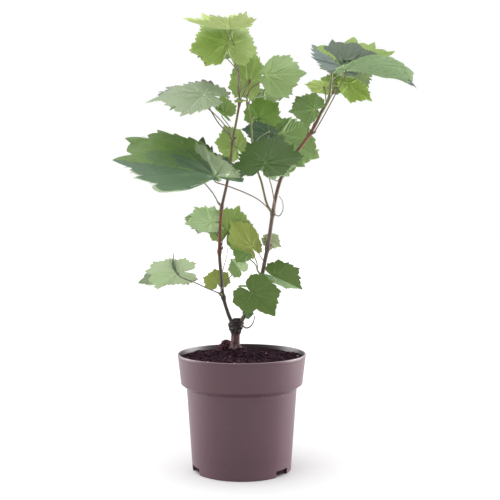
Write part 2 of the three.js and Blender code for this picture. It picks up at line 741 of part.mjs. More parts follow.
        broad: [1, 0.4],
      },
      { at: [13.6, -24, 235], tip: [30, -10, -29], face: [0.05, -0.9, 0.35], broad: [1, 0.85] },
    ],
  },
  low_middle_leaves: {
    seed: 38,
    stem: [[26.4, 2, 256], [21, 5, 263]],
    leaves: [
      {
        at: [12, 6, 295], tip: [-29, 2, 36], face: [0.1, -0.9, 0.3], broad: [0.62, 0.62],
        base: [0.7, 0.7],
      },
      {
        at: [9, -6, 287], tip: [-25, -6, 8], face: [0, -0.6, 0.8], fold: -30,
        base: [0.5, 0.5],
      },
    ],
  },
  right_small_leaf: {
    seed: 39,
    stem: [[34.4, -2, 296], [34, 5, 299]],
    leaves: [
      {
        at: [31, 11, 306], tip: [22, -3, -12], face: [0.2, -0.8, 0.5], broad: [0.8, 0.8],
        base: [0.4, 0.4],
      },
    ],
  },
};

function add(group, name, solid, finish) {
  const mesh = new THREE.Mesh(geometryOf(solid), finish);
  mesh.name = name;
  group.add(mesh);
}

const group = new THREE.Group();
const grownTrunk = trunkSolid(CLEARANCE);
const leftCane = wholePiece('left_cane', limb(LEFT_CANE).subtract(grownTrunk));
const rightCane = wholePiece('right_cane', limb(RIGHT_CANE).subtract(grownTrunk));
const grownLeft = limb(LEFT_CANE, CLEARANCE);
const grownRight = limb(RIGHT_CANE, CLEARANCE);
const middleShoot = wholePiece('middle_shoot', limb(MIDDLE_SHOOT).subtract(grownRight));
const grownMiddle = limb(MIDDLE_SHOOT, CLEARANCE);
const limbs = [grownTrunk, grownLeft, grownRight, grownMiddle];

add(group, 'pot', potSolid(), FINISH.pot);
add(group, 'soil', soilSolid(), FINISH.soil);
add(group, 'trunk', trunkSolid(), FINISH.bark);
add(group, 'left_cane', leftCane, FINISH.cane);
add(group, 'right_cane', rightCane, FINISH.cane);
add(group, 'middle_shoot', middleShoot, FINISH.shoot);
Object.entries(MASSES).forEach(([name, mass]) => {
  add(group, name, foliage(name, mass, limbs), FINISH.leaf);
});

export default group;
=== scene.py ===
"""A young grapevine in a round nursery pot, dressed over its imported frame.

The leaves, stalks and limbs grow by the same rule and from the same places as the solids that
they stand for, with finer outlines, veins, bark and teeth.
"""

import cmath
import logging
import math
from dataclasses import dataclass
from enum import Enum
from functools import cache, partialmethod
from typing import Iterable, Mapping, Sequence

import bpy
import numpy as np
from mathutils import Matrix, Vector, noise


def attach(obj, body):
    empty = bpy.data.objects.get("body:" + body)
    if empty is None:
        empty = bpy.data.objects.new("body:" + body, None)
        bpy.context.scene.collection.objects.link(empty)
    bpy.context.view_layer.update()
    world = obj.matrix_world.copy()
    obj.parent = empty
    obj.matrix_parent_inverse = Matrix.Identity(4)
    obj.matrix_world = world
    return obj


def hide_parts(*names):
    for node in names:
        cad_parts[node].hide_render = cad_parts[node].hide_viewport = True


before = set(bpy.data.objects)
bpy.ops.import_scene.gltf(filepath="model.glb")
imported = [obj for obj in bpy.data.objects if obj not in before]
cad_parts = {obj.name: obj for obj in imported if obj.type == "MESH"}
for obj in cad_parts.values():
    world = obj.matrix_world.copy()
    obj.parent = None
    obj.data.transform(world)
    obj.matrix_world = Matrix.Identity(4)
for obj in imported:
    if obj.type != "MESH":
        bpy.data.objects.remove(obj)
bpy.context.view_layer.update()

Array = np.ndarray
Point = tuple[float, float, float]
Pair = tuple[float, float]

log = logging.getLogger("grapevine")

MM = 0.001
DEGREE = math.pi / 180
BODY = "root"
MASK = 0xFFFFFFFF


class Seeded:
    """A stream of random numbers from 0 to 1 that is the same each run."""

    def __init__(self, seed: int) -> None:
        """Starts the stream that has this number."""
        self.state = seed & MASK

    def __call__(self) -> float:
        """Draws the next number.

        Returns:
            The number.
        """
        self.state = (self.state + 0x6D2B79F5) & MASK
        mixed = ((self.state ^ (self.state >> 15)) * (self.state | 1)) & MASK
        mixed ^= (mixed + (mixed ^ (mixed >> 7)) * (mixed | 61)) & MASK
        return ((mixed ^ (mixed >> 14)) & MASK) / 2**32

    def between(self, low: float, high: float) -> float:
        """Draws a number between two limits."""
        return low + (high - low) * self()


def smooth(low: float, high: float, x: Array) -> Array:
    """Rises smoothly from 0 at low to 1 at high, for each x."""
    share = np.clip((np.asarray(x, float) - low) / (high - low), 0, 1)
    return share * share * (3 - 2 * share)


def bell(x: Array) -> Array:
    """Gives the bell curve that is 1 at 0 and near 0 beyond 2."""
    return np.exp(-(x**2))


def circle(count: int) -> Array:
    """Gives evenly spaced angles round a circle, in radians."""
    return 2 * np.pi * np.arange(count) / count


def ring(angles: Array, reach: Array | float, height: Array | float) -> Array:
    """Gives places round the upright axis, by angle, distance from it and height."""
    flat = (reach * np.cos(angles), reach * np.sin(angles), height)
    return np.stack(np.broadcast_arrays(*flat), -1)


def unit(vectors: Array) -> Array:
    """Scales vectors to length 1."""
    return vectors / np.maximum(np.linalg.norm(vectors, axis=-1, keepdims=True), 1e-12)


def noise_at(x: float, y: float, z: float) -> float:
    """Gives smooth noise from about -1 to 1."""
    return noise.noise(Vector((x, y, z)))


def noise_round(angle: float, width: float, along: float) -> float:
    """Gives smooth noise on a tube, by the way round it and the way along it."""
    return noise_at(math.cos(angle) * width, math.sin(angle) * width, along)


def linear(code: int) -> tuple[float, float, float, float]:
    """Turns a screen colour such as 0x6F9448 into linear light.

    Args:
        code: the colour as one hexadecimal number.

    Returns:
        Red, green, blue and alpha.
    """
    parts = [((code >> shift) & 255) / 255 for shift in (16, 8, 0)]
    red, green, blue = (c / 12.92 if c <= 0.04045 else ((c + 0.055) / 1.055) ** 2.4 for c in parts)
    return red, green, blue, 1.0


def add(name: str, data: bpy.types.ID) -> bpy.types.Object:
    """Adds an object to the scene.

    Args:
        name: its name.
        data: its mesh, lamp or camera.

    Returns:
        The object.
    """
    made = bpy.data.objects.new(name, data)
    bpy.context.scene.collection.objects.link(made)
    return made


class Socket:
    """A shader socket that can be used in sums."""

    def __init__(self, graph: "Graph", source: bpy.types.NodeSocket) -> None:
        """Wraps an output socket of the graph's node tree."""
        self.graph = graph
        self.source = source

    def combine(self, operation: str, other: "Socket | float", back: bool = False) -> "Socket":
        """Works a sum with another value; back puts that value first."""
        pair = (other, self) if back else (self, other)
        return self.graph.node("ShaderNodeMath", {"operation": operation}, dict(enumerate(pair)))

    __add__ = __radd__ = partialmethod(combine, "ADD")
    __mul__ = __rmul__ = partialmethod(combine, "MULTIPLY")
    __sub__ = partialmethod(combine, "SUBTRACT")
    __rsub__ = partialmethod(combine, "SUBTRACT", back=True)
    __truediv__ = partialmethod(combine, "DIVIDE")

    def clamp(self) -> "Socket":
        """Keeps the value between 0 and 1."""
        settings = {"operation": "ADD", "use_clamp": True}
        return self.graph.node("ShaderNodeMath", settings, {0: self, 1: 0.0})


class Graph:
    """One material's nodes."""

    def __init__(self, name: str) -> None:
        """Makes the material with its Principled shader.

        Args:
            name: the material's name.
        """
        self.material = bpy.data.materials.new(name)
        self.material.use_nodes = True
        self.tree = self.material.node_tree
        self.shader = self.tree.nodes["Principled BSDF"]
        self.place = self.node("ShaderNodeTexCoord", {}, {}, "Object")

    def node(
        self,
        kind: str,
        settings: Mapping[str, object],
        sockets: Mapping[int | str, object],
        out: int | str = 0,
    ) -> Socket:
        """Adds any node.

        Args:
            kind: the node's type.
            settings: its settings, set first.
            sockets: values or links for its inputs, by name or number.
            out: the output that is returned.

        Returns:
            The wrapped output.
        """
        made = self.tree.nodes.new(kind)
        for key, value in settings.items():
            setattr(made, key, value)
        for key, value in sockets.items():
            self.put(made.inputs[key], value)
        return Socket(self, made.outputs[out])

    def put(self, target: bpy.types.NodeSocket, value: object) -> None:
        """Links a wrapped socket to an input, or sets the input's value.

        Args:
            target: the input.
            value: the wrapped socket or the value.
        """
        if isinstance(value, Socket):
            self.tree.links.new(value.source, target)
        else:
            target.default_value = value

    def noise(self, scale: float, detail: float = 3, stretch: Point = (1, 1, 1)) -> Socket:
        """Adds noise in the object's own space.

        Args:
            scale: bumps per metre.
            detail: how many finer layers it has.
            stretch: the scale along each axis.

        Returns:
            The noise's value from 0 to 1.
        """
        place = self.node("ShaderNodeMapping", {}, {"Vector": self.place, "Scale": stretch})
        sockets = {"Vector": place, "Scale": scale, "Detail": detail}
        return self.node("ShaderNodeTexNoise", {}, sockets)

    def height(self) -> Socket:
        """Gives the height above the ground, in metres."""
        return self.node("ShaderNodeSeparateXYZ", {}, {"Vector": self.place}, "Z")

    def span(self, value: Socket, source: Pair, target: Pair = (0, 1)) -> Socket:
        """Maps a value from one span to another and holds it there."""
        keys = ("Value", "From Min", "From Max", "To Min", "To Max")
        return self.node("ShaderNodeMapRange", {}, dict(zip(keys, (value, *source, *target))))

    def blend(self, share: Socket, first: object, second: object) -> Socket:
        """Mixes two colours, with the share saying how much of the second."""
        sockets = {0: share, 6: first, 7: second}
        return self.node("ShaderNodeMix", {"data_type": "RGBA"}, sockets, 2)

    def ramp(self, value: Socket, stops: Sequence[tuple[float, int]]) -> Socket:
        """Colours a value.

        Args:
            value: the value, from 0 to 1.
            stops: the ramp's stops, each its place and screen colour.

        Returns:
            The colour.
        """
        made = self.node("ShaderNodeValToRGB", {}, {"Fac": value})
        elements = made.source.node.color_ramp.elements
        while len(elements) < len(stops):
            elements.new(1.0)
        for element, (at, code) in zip(elements, stops):
            element.position = at
            element.color = linear(code)
        return made

    def finish(self, bump: Socket | None = None, strength: float = 0.3, depth: float = 0.001,
               **sockets: object) -> bpy.types.Material:
        """Sets the shader's sockets.

        Args:
            bump: the height that feeds its Normal, if any.
            strength: the bump's strength.
            depth: the bump's depth in metres.
            sockets: other inputs by name, with underscores for spaces.

        Returns:
            The material.
        """
        for key, value in sockets.items():
            self.put(self.shader.inputs[key.replace("_", " ")], value)
        if bump is not None:
            heights = {"Strength": strength, "Distance": depth, "Height": bump}
            normal = self.node("ShaderNodeBump", {}, heights, "Normal")
            self.put(self.shader.inputs["Normal"], normal)
        return self.material


class Tone(Enum):
    """The leaf colours, each dealt out to whole leaves or parts of them. Besides each leaf's own colour,
    most hold painted light and shade: lighter tones where a leaf is lit, darker ones where it is shaded.
    """

    YOUNG = 0xA0B364
    # GLOW and SUNLIT: painted light, the bright glow of lit and backlit blades.
    GLOW = 0x8FA460
    SUNLIT = 0xB5C386
    # LIT: painted light on lit blades and strips.
    LIT = 0x879E4A
    GRASS = 0x7D9649
    FRESH = 0x8BA45A
    MIDDLE = 0x6D8645
    SOFT = 0x6D8650
    SPRING = 0x778F57
    SAGE = 0x778F66
    SMOOTH = 0x88A277
    # A dusty grey-green that also paints sheen and a lit rim on the big left leaf: painted light.
    DUSTY_SHEEN = 0x7F8F72
    DEEP = 0x76964A
    MOSS = 0x526D30
    DARK = 0x3B5520
    LUSH = 0x4A6226
    BLUE = 0x425A40
    # SHADE: painted shade.
    SHADE = 0x3E4F3A
    GREY = 0x626F6C
    YELLOW = 0x88964A
    # SUNNY: painted light where a blade is lit from behind.
    SUNNY = 0x728C38
    FERN = 0x486236
    FADED = 0x929D78
    PALE = 0xA8C091
    UNDER = 0xAFC29B
    BACK = 0x6A8052
    RUSTY = 0x7C6A50
    PURPLE = 0x5C5258


@dataclass(frozen=True)
class LeafFinish:
    """A leaf's face: one plain tone with fine cells and a soft gloss."""

    tone: Tone
    under: bool = False
    roughness: float = 0.47
    darker: tuple[float, ...] = (0.88, 0.9, 0.82, 1)
    lighter: tuple[float, ...] = (1.13, 1.1, 1.1, 1)

    @cache
    def make(self) -> bpy.types.Material:
        """Makes the material once.

        Returns:
            The material.
        """
        graph = Graph(f"leaf_{self.tone.name.lower()}{'_under' if self.under else ''}")
        colour = np.array(linear(self.tone.value))
        patch = graph.noise(90, 4)
        cell_sockets = {"Vector": graph.place, "Scale": 620.0}
        cells = graph.node("ShaderNodeTexVoronoi", {"feature": "F1"}, cell_sockets)
        light = tuple(np.minimum(colour * self.lighter, 1))
        rough = self.roughness + (0.16 if self.under else 0) + 0.12 * (patch - 0.5)
        return graph.finish(
            bump=cells, strength=0.25, depth=0.0003, Roughness=rough, Specular_IOR_Level=0.32,
            Base_Color=graph.blend(patch, tuple(colour * self.darker), light),
        )


@dataclass(frozen=True)
class PlainFinish:
    """A soft living finish of one tone, for veins, stalks, buds and tendrils."""

    name: str
    colour: int
    other: int
    roughness: float = 0.5

    @cache
    def make(self) -> bpy.types.Material:
        """Makes the material once.

        Returns:
            The material.
        """
        graph = Graph(self.name)
        shade = graph.blend(graph.noise(160, 4), linear(self.colour), linear(self.other))
        fine = graph.noise(2200, 2)
        return graph.finish(
            bump=fine, strength=0.25, depth=0.0002, Base_Color=shade,
            Roughness=self.roughness + 0.2 * (fine - 0.5),
        )


@dataclass(frozen=True)
class BarkFinish:
    """Bark in fibres along the wood, coloured by height from low to high, in metres."""

    name: str
    stops: tuple[tuple[float, int], ...]
    low: float
    high: float
    fibre: int = 0x8A7468
    crack: int = 0x1C1311
    depth: float = 0.0006

    @cache
    def make(self) -> bpy.types.Material:
        """Makes the material once.

        Returns:
            The material.
        """
        graph = Graph(self.name)
        share = (graph.height() - self.low) / (self.high - self.low)
        wander = 0.1 * (graph.noise(60, 2) - 0.5)
        tone = graph.ramp((share + wander).clamp(), self.stops)
        fibres = graph.noise(900, 5, (1, 1, 0.12))
        light = graph.span(fibres, (0.5, 0.72), (0, 0.22))
        dark = graph.span(fibres, (0.32, 0.48), (0.6, 0))
        shade = graph.blend(light, tone, linear(self.fibre))
        return graph.finish(
            bump=fibres, strength=0.6, depth=self.depth, Roughness=0.72 + 0.25 * (fibres - 0.5),
            Base_Color=graph.blend(dark, shade, linear(self.crack)),
        )


@dataclass(frozen=True)
class PotFinish:
    """Satin mauve-brown moulded plastic with faint scuffs, dust and flecks in one low line."""

    name: str = "pot_plastic"
    colour: int = 0x462B35
    other: int = 0x4C2E38
    dust: int = 0x776668
    fleck_height: float = 0.1072

    @cache
    def make(self) -> bpy.types.Material:
        """Makes the material once.

        Returns:
            The material.
        """
        graph = Graph(self.name)
        cloud = graph.noise(16, 4)
        marks = graph.span(graph.noise(300, 6, (0.5, 0.5, 1)), (0.62, 0.8), (0, 0.14))
        foot = graph.span(graph.height(), (0, 0.02), (0.22, 0))
        warm = graph.blend(cloud, linear(self.colour), linear(self.other))
        away = graph.height() - self.fleck_height
        line = (1 - away * away * 9e5).clamp()
        flecks = graph.span(graph.noise(190, 3), (0.6, 0.68), (0, 0.45))
        dusty = (marks + foot * cloud + line * flecks).clamp()
        return graph.finish(
            bump=graph.noise(1500, 2), strength=0.12, depth=0.0002, Specular_IOR_Level=0.55,
            Base_Color=graph.blend(dusty, warm, linear(self.dust)),
            Roughness=0.34 + 0.12 * cloud + 0.3 * marks,
        )


@dataclass(frozen=True)
class SoilFinish:
    """Moist bark compost, dark with paler crumbs."""

    name: str = "compost"
    dark: int = 0x120614
    light: int = 0x2A1420

    @cache
    def make(self) -> bpy.types.Material:
        """Makes the material once.

        Returns:
            The material.
        """
        graph = Graph(self.name)
        grain = graph.noise(420, 6)
        lumps = graph.noise(110, 4)
        share = graph.span(grain, (0.38, 0.66))
        return graph.finish(
            bump=grain + lumps, strength=0.8, depth=0.0015, Specular_IOR_Level=0.06,
            Base_Color=graph.blend(share, linear(self.dark), linear(self.light)),
            Roughness=0.85 + 0.2 * (grain - 0.5),
        )


Finish = LeafFinish | PlainFinish | BarkFinish | PotFinish | SoilFinish

STALK_RED = PlainFinish("stalk_red", 0x5C4034, 0x6C563E)
STALK_OLIVE = PlainFinish("stalk_olive", 0x555437, 0x646C40)
STALK_GREY = PlainFinish("stalk_grey", 0x4C483C, 0x625E4C)
SHOOT_GREEN = PlainFinish("shoot_green", 0x50562E, 0x646A3A)
# VEIN is the pale vein for lit leaves and VEIN_DARK a darker copy for dark and shaded leaves: their
# difference is partly painted shade.
VEIN = PlainFinish("vein", 0xB4C67E, 0xA5BA72, 0.55)
VEIN_DARK = PlainFinish("vein_dark", 0x637A48, 0x566D3E, 0.55)
VEIN_PALE = PlainFinish("vein_pale", 0xB6C6A0, 0xA9BA92, 0.6)
VEIN_SAGE = PlainFinish("vein_sage", 0x8CA077, 0x80956C, 0.6)
BUD = PlainFinish("bud", 0x4A352B, 0x6A4A3A, 0.7)
TENDRIL = PlainFinish("tendril", 0x45412F, 0x5A4A3A, 0.6)
CURL = PlainFinish("curl", 0x3F5038, 0x56644C, 0.6)


class Surface:
    """Vertices and faces gathered for one mesh, in millimetres."""

    def __init__(self, name: str) -> None:
        """Starts empty.

        Args:
            name: the piece's name.
        """
        self.name = name
        self.finishes: dict[Finish, int] = {}
        self.vertices: list[Array] = []
        self.faces: list[tuple[Array, Array]] = []
        self.count = 0

    def finish_index(self, finish: Finish) -> int:
        """Gives the number of a finish's slot."""
        return self.finishes.setdefault(finish, len(self.finishes))

    def points(self, places: Array) -> int:
        """Adds vertices.

        Args:
            places: their places, in order.

        Returns:
            The first one's number.
        """
        first = self.count
        self.vertices.append(np.asarray(places, float).reshape(-1, 3))
        self.count += len(self.vertices[-1])
        return first

    def join(self, *corners: Array | int, slots: int | Array) -> None:
        """Adds faces of one kind.

        Args:
            corners: the vertex numbers of all faces' first corners, then of the next.
            slots: one material slot for all, or one for each face.
        """
        rows = np.stack(np.broadcast_arrays(*corners), -1).reshape(-1, len(corners))
        self.faces.append((rows, np.broadcast_to(np.asarray(slots), len(rows))))

    def rings(self, rings: Array, finish: Finish) -> None:
        """Adds a surface of closed rings with a fan at each end.

        Args:
            rings: places, by ring and by step round it.
            finish: the finish of all its faces.
        """
        slot = self.finish_index(finish)
        count, sides = rings.shape[:2]
        first = self.points(rings)
        low = first + np.arange(count - 1)[:, None] * sides
        here = np.arange(sides)
        after = (here + 1) % sides
        self.join(low + here, low + after, low + sides + after, low + sides + here, slots=slot)
        ends = self.points(np.array([rings[0].mean(0), rings[-1].mean(0)]))
        top = first + (count - 1) * sides
        self.join(ends, first + after, first + here, slots=slot)
        self.join(ends + 1, top + here, top + after, slots=slot)

    def build(self, slot: str, replaces: Sequence[str] = (), angle: float = 40) -> bpy.types.Object:
        """Makes the piece, hangs it on the body and hides the frame's parts that it stands for.

        Args:
            slot: the piece's material slot; not used.
            replaces: the nodes that it stands for.
            angle: edges sharper than this stay sharp, in degrees.

        Returns:
            The piece.
        """
        mesh = bpy.data.meshes.new(self.name)
        places = np.concatenate(self.vertices) * MM
        mesh.vertices.add(len(places))
        mesh.vertices.foreach_set("co", places.ravel())
        loops = np.concatenate([corners.ravel() for corners, _ in self.faces])
        mesh.loops.add(len(loops))
        mesh.loops.foreach_set("vertex_index", loops.astype(np.int32))
        sizes = np.concatenate([np.full(len(c), c.shape[1]) for c, _ in self.faces])
        mesh.polygons.add(len(sizes))
        starts = np.concatenate([[0], np.cumsum(sizes)[:-1]])
        mesh.polygons.foreach_set("loop_start", starts.astype(np.int32))
        slots = np.concatenate([slots for _, slots in self.faces])
        mesh.polygons.foreach_set("material_index", slots.astype(np.int32))
        mesh.polygons.foreach_set("use_smooth", np.ones(len(sizes), bool))
        mesh.update(calc_edges=True)
        mesh.validate()
        mesh.set_sharp_from_angle(angle=angle * DEGREE)
        for finish in self.finishes:
            mesh.materials.append(finish.make())
        piece = add(self.name, mesh)
        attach(piece, BODY)
        if replaces:
            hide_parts(*replaces)
        triangles = int((sizes - 2).sum())
        log.info("%s: %d triangles, %d finishes", self.name, triangles, len(self.finishes))
        return piece


class Path:
    """A smooth curve through points, read by the share of its length."""

    DIVISIONS = 200
    STEP = 1e-3

    def __init__(self, points: Sequence[Point] | Array) -> None:
        """Takes the points in order.

        Args:
            points: two or more places that the curve passes.
        """
        inner = np.array(points, float)
        self.points = np.vstack([2 * inner[0] - inner[1], inner, 2 * inner[-1] - inner[-2]])
        self.parameters = np.linspace(0, 1, self.DIVISIONS + 1)
        steps = np.linalg.norm(np.diff(self.at_parameter(self.parameters), axis=0), axis=1)
        self.run = np.concatenate([[0], np.cumsum(steps)])
        self.length = float(self.run[-1])

    def at_parameter(self, parameters: Array) -> Array:
        """Gives places on the centripetal Catmull-Rom curve.

        Args:
            parameters: how far through the points, from 0 to 1.

        Returns:
            The places.
        """
        spans = len(self.points) - 3
        place = np.clip(parameters, 0, 1) * spans
        index = np.minimum(place.astype(int), spans - 1)
        weight = (place - index)[:, None]
        a, b, c, d = (self.points[index + k] for k in range(4))
        before, here, after = (
            np.sqrt(np.linalg.norm(q - p, axis=1))[:, None] for p, q in ((a, b), (b, c), (c, d))
        )
        leave = ((b - a) / before - (c - a) / (before + here) + (c - b) / here) * here
        arrive = ((c - b) / here - (d - b) / (here + after) + (d - c) / after) * here
        square = -3 * b + 3 * c - 2 * leave - arrive
        cube = 2 * b - 2 * c + leave + arrive
        return b + leave * weight + square * weight**2 + cube * weight**3

    def at(self, shares: Array) -> Array:
        """Gives places by share of the length."""
        wanted = np.asarray(shares, float) * self.length
        return self.at_parameter(np.interp(wanted, self.run, self.parameters))

    def frames(self, shares: Array) -> tuple[Array, Array, Array]:
        """Gives places with two directions across the curve, which don't twist.

        Args:
            shares: shares of the length, rising.

        Returns:
            The places and the two directions at each.
        """
        ahead, behind = np.minimum(shares + self.STEP, 1), np.maximum(shares - self.STEP, 0)
        tangents = unit(self.at(ahead) - self.at(behind))
        normal = np.array([0.0, 1, 0]) if abs(tangents[0][1]) < 0.8 else np.array([1.0, 0, 0])
        normals = []
        for tangent in tangents:
            normal = normal - tangent * normal.dot(tangent)
            normal /= np.linalg.norm(normal)
            normals.append(normal)
        across = np.array(normals)
        return self.at(shares), across, np.cross(tangents, across)


def tube(path: Path, shares: Array, radii: Array, sides: int) -> Array:
    """Gives the rings of a round tube.

    Args:
        path: its centre line.
        shares: the shares of the path's length that get a ring.
        radii: the radius at each ring, or at each point of each ring.
        sides: points round a ring.

    Returns:
        Places, by ring and by step round it.
    """
    centres, normals, binormals = path.frames(shares)
    wide = np.broadcast_to(np.asarray(radii, float).reshape(len(shares), -1), (len(shares), sides))
    across = normals[:, None] * (np.cos(circle(sides)) * wide)[..., None]
    up = binormals[:, None] * (np.sin(circle(sides)) * wide)[..., None]
    return centres[:, None] + across + up


@dataclass(frozen=True)
class Patch:
    """A part of a leaf's upper face with its own plain tone: a lobe, a strip or a margin. Many are
    painted light, sheen or shade, such as a backlit strip or a shaded tip.
    """

    tone: Tone
    low: float = -180
    high: float = 180
    inner: float = 0.92
    outer: float = 1.1
    wander: float = 0.04


@dataclass(frozen=True)
class Leaf:
    """One leaf: where its stalk ends, the way to its tip, the way its upper face looks.

    Pairs are for the left half and the right. One tone is for the whole face, two are for the
    halves, and six are for the lobes of the left half from the tip, then of the right. Where
    halves, lobes and patches differ in tone, the difference is mostly painted light and shade
    on the folded blade.
    """

    at: Point
    tip: Point
    face: Point
    fold: float = 0
    droop: float = 10
    wave: float = 0.03
    via: tuple[Point, ...] = ()
    on: float = 1
    stalk: float = 1
    broad: Pair = (1, 1)
    base: Pair = (1, 1)
    cut: Pair = (0.09, 0.09)
    shoulder: tuple[Pair, Pair] = ((55, 115), (55, 115))
    tones: tuple[Tone, ...] = (Tone.MIDDLE,)
    patches: tuple[Patch, ...] = ()
    under: Tone = Tone.BACK
    back: tuple[Patch, ...] = ()
    bays: tuple[Point, ...] = ()
    ragged: float = 1
    lobing: float = 1
    vein: PlainFinish = VEIN
    stem: PlainFinish = STALK_OLIVE


@dataclass(frozen=True)
class Rear:
    """A leaf on the far side, whose way is left to the rule."""

    at: Point
    length: float
    via: tuple[Point, ...] = ()
    on: float = 1

    MIDDLE = 20
    TURN = 0.7
    FALL = (0.2, 0.55)
    FACE = (0.6, 0.8)
    FOLD = 10
    DROOP = (15, 35)

    def grow(self, random: Seeded) -> Leaf:
        """Turns the leaf out from the plant's middle.

        Args:
            random: the mass's stream.

        Returns:
            The leaf.
        """
        out = math.atan2(self.at[1], self.at[0] - self.MIDDLE) + (random() - 0.5) * self.TURN
        side, back = math.cos(out), math.sin(out)
        fall = -self.length * random.between(*self.FALL)
        return Leaf(
            at=self.at, tip=(self.length * side, self.length * back, fall), via=self.via,
            on=self.on, face=(side * self.FACE[0], back * self.FACE[0], self.FACE[1]),
            fold=self.FOLD * random(), droop=random.between(*self.DROOP),
            tones=(Tone.MIDDLE, Tone.MOSS),
        )


class Blade:
    """A leaf's blade: its outline, its bent surface, its veins and the relief between them.

    Angles are degrees from the midrib, positive on the left half, and radii are shares of the
    midrib. LARGE, MIDDLING, THICKNESS, LEAST_WIDTH and LONGEST_END are in millimetres.
    """

    LARGE, MIDDLING = 50, 34
    LEAST_DROOP = 0.1
    LEVELS = (30, 18, 11)
    RADII = ((0, 50, 106, 138, 162, 180), (1, 0.9, 0.76, 0.64, 0.46, 0.08))
    LOBE_GAPS = ((25, 13), (78, 14))
    LOBE_BREAKS = {1: (), 3: (50, 106)}

    TIPS = (0, 24, 50, 77, 106, 138, 163)
    CLOSING = (167, 171, 175, 180)
    TOOTH_DEPTH = 0.1
    TOOTH_CHANGE = (0.7, 0.6)
    END_DEPTH = 0.06
    SMALL_DEPTH = (0.042, 0.1)
    WIDE_TOOTH = 26
    NOTCH_AT = 0.78
    STEPS = (0, 0.12, 0.3, 0.5, 0.66, NOTCH_AT, 0.9)
    FEW_STEPS = (0, 0.3, NOTCH_AT)
    BACK_CURVE = 1.5
    TEETH_FROM = 0.72

    WAVES = 3
    FRILL, FRILL_WAVES = 0.45, 9.9
    QUILT, QUILT_CURVE = 0.042, 1.3
    QUILT_RISE = ((0, 25, 50, 78, 106, 126, 147, 180), (0, 1, 0, 1, 0, 0.8, 0, 0))
    BULGE, BULGE_SPREAD = 0.027, 0.026
    BULGE_FADE, FADE_CURVE = 0.75, 5
    THICKNESS, THINNING = 0.45, 6
    RING_CURVE = 0.92
    NORMAL_STEP, NORMAL_TURN = 0.02, 3

    MAINS = (0, 50, -50, 106, -106, 147, -147)
    SECTORS = {0: 25, 50: 27, 106: 26, 147: 16}
    VEIN_END, SHORT_VEIN = 0.93, 0.2
    VEIN_WIDTH, LEAST_WIDTH, VEIN_TAPER = 0.0085, 0.4, 0.25
    VEIN_POINTS, VEIN_BOW = 12, 2.5
    BRANCHES = (7, 5, 3)
    BRANCH_FROM, BRANCH_SPAN, BRANCH_SHIFT = 0.16, 0.74, 0.03
    BRANCH_WIDTH, BRANCH_THINNING, BRANCH_TAPER = 0.62, 0.3, 0.4
    BRANCH_ANGLE, BRANCH_CURL = 40, 1.6
    BRANCH_STEP, BRANCH_STEPS = 0.055, 14
    BRANCH_LIMIT = 164
    RIB_SIDES, RIB_FOOT = 5, 0.004

    STALK_DRAWS = ((-0.5, 0.5), (-0.5, 0.5), (0.6, 1))
    STALK_LEAVE, STALK_DRAW = 0.8, 0.5
    STALK_MIDDLE, STALK_ARRIVE = 0.3, 0.35
    STALK_END, LONGEST_END = 0.25, 6

    PATCH_WAVES, SECOND_WAVE, SECOND_WAVES = 5, 0.6, 2.3
    PATCH_SWAY, SWAY_WAVES = 60, 11

    def __init__(self, leaf: Leaf, random: Seeded) -> None:
        """Draws the leaf's own numbers, in the source's order.

        Args:
            leaf: the leaf.
            random: the mass's stream.
        """
        self.leaf = leaf
        self.bend = (leaf.droop or self.LEAST_DROOP) * DEGREE
        turn = self.bend / 2
        self.length = float(np.linalg.norm(leaf.tip) * turn / math.sin(turn))
        chord = unit(np.array(leaf.tip, float))
        face = np.array(leaf.face, float)
        face = unit(face - chord * face.dot(chord))
        self.along = chord * math.cos(turn) + face * math.sin(turn)
        self.off = face * math.cos(turn) - chord * math.sin(turn)
        self.across = np.cross(self.off, self.along)
        self.stalk_draws = [random.between(*span) for span in self.STALK_DRAWS]
        self.phase = random() * 2 * math.pi
        least, change = self.TOOTH_CHANGE
        self.depths = [
            [self.TOOTH_DEPTH * (least + change * random()) for _ in range(5)] + [self.END_DEPTH]
            for _ in range(2)
        ]
        self.size = 0 if self.length > self.LARGE else 1 if self.length > self.MIDDLING else 2

    def radius(self, angles: Array | float) -> Array:
        """Gives the edge's radius without teeth.

        Args:
            angles: the ways from the midrib.

        Returns:
            The radius at each.
        """
        turned = np.abs(angles)
        dip = sum(bell((turned - at) / width) for at, width in self.LOBE_GAPS)
        leaf, halves = self.leaf, []
        for base, cut, (low, high) in zip(leaf.base, leaf.cut, leaf.shoulder):
            shrink = 1 + (base - 1) * smooth(low, high, turned)
            halves.append((np.interp(turned, *self.RADII) - cut * leaf.lobing * dip) * shrink)
        bays = sum(depth * bell((angles - middle) / width) for middle, width, depth in leaf.bays)
        return np.where(np.asarray(angles) > 0, *halves) - bays

    def edge(self) -> tuple[Array, Array]:
        """Goes round the edge, tooth by tooth.

        Returns:
            The angles, and what the teeth multiply the radius by at each.
        """
        random = Seeded(int(self.phase * 1e6))
        steps = self.FEW_STEPS if self.size == 2 else self.STEPS
        ragged = self.leaf.ragged
        halves = []
        for depths in self.depths:
            points = []
            for low, high, depth in zip(self.TIPS, self.TIPS[1:], depths):
                smaller = 3 if self.size == 0 and high - low > self.WIDE_TOOTH else 2
                for tooth in range(smaller):
                    deep = random.between(*self.SMALL_DEPTH) * ragged
                    for step in steps:
                        share = (tooth + step) / smaller
                        sunk = (step / self.NOTCH_AT) ** self.BACK_CURVE
                        if step > self.NOTCH_AT:
                            sunk = (1 - step) / (1 - self.NOTCH_AT)
                        outer = 1 - depth * ragged * (1 - abs(2 * share - 1))
                        points.append((low + (high - low) * share, outer * (1 - deep * sunk)))
            closing = (self.TIPS[-1], *self.CLOSING)
            halves.append(np.array([*points, *((angle, 1) for angle in closing)], float))
        left, right = halves
        angles, factors = np.vstack([left, right[1:-1][::-1] * (-1, 1)]).T
        return angles, factors

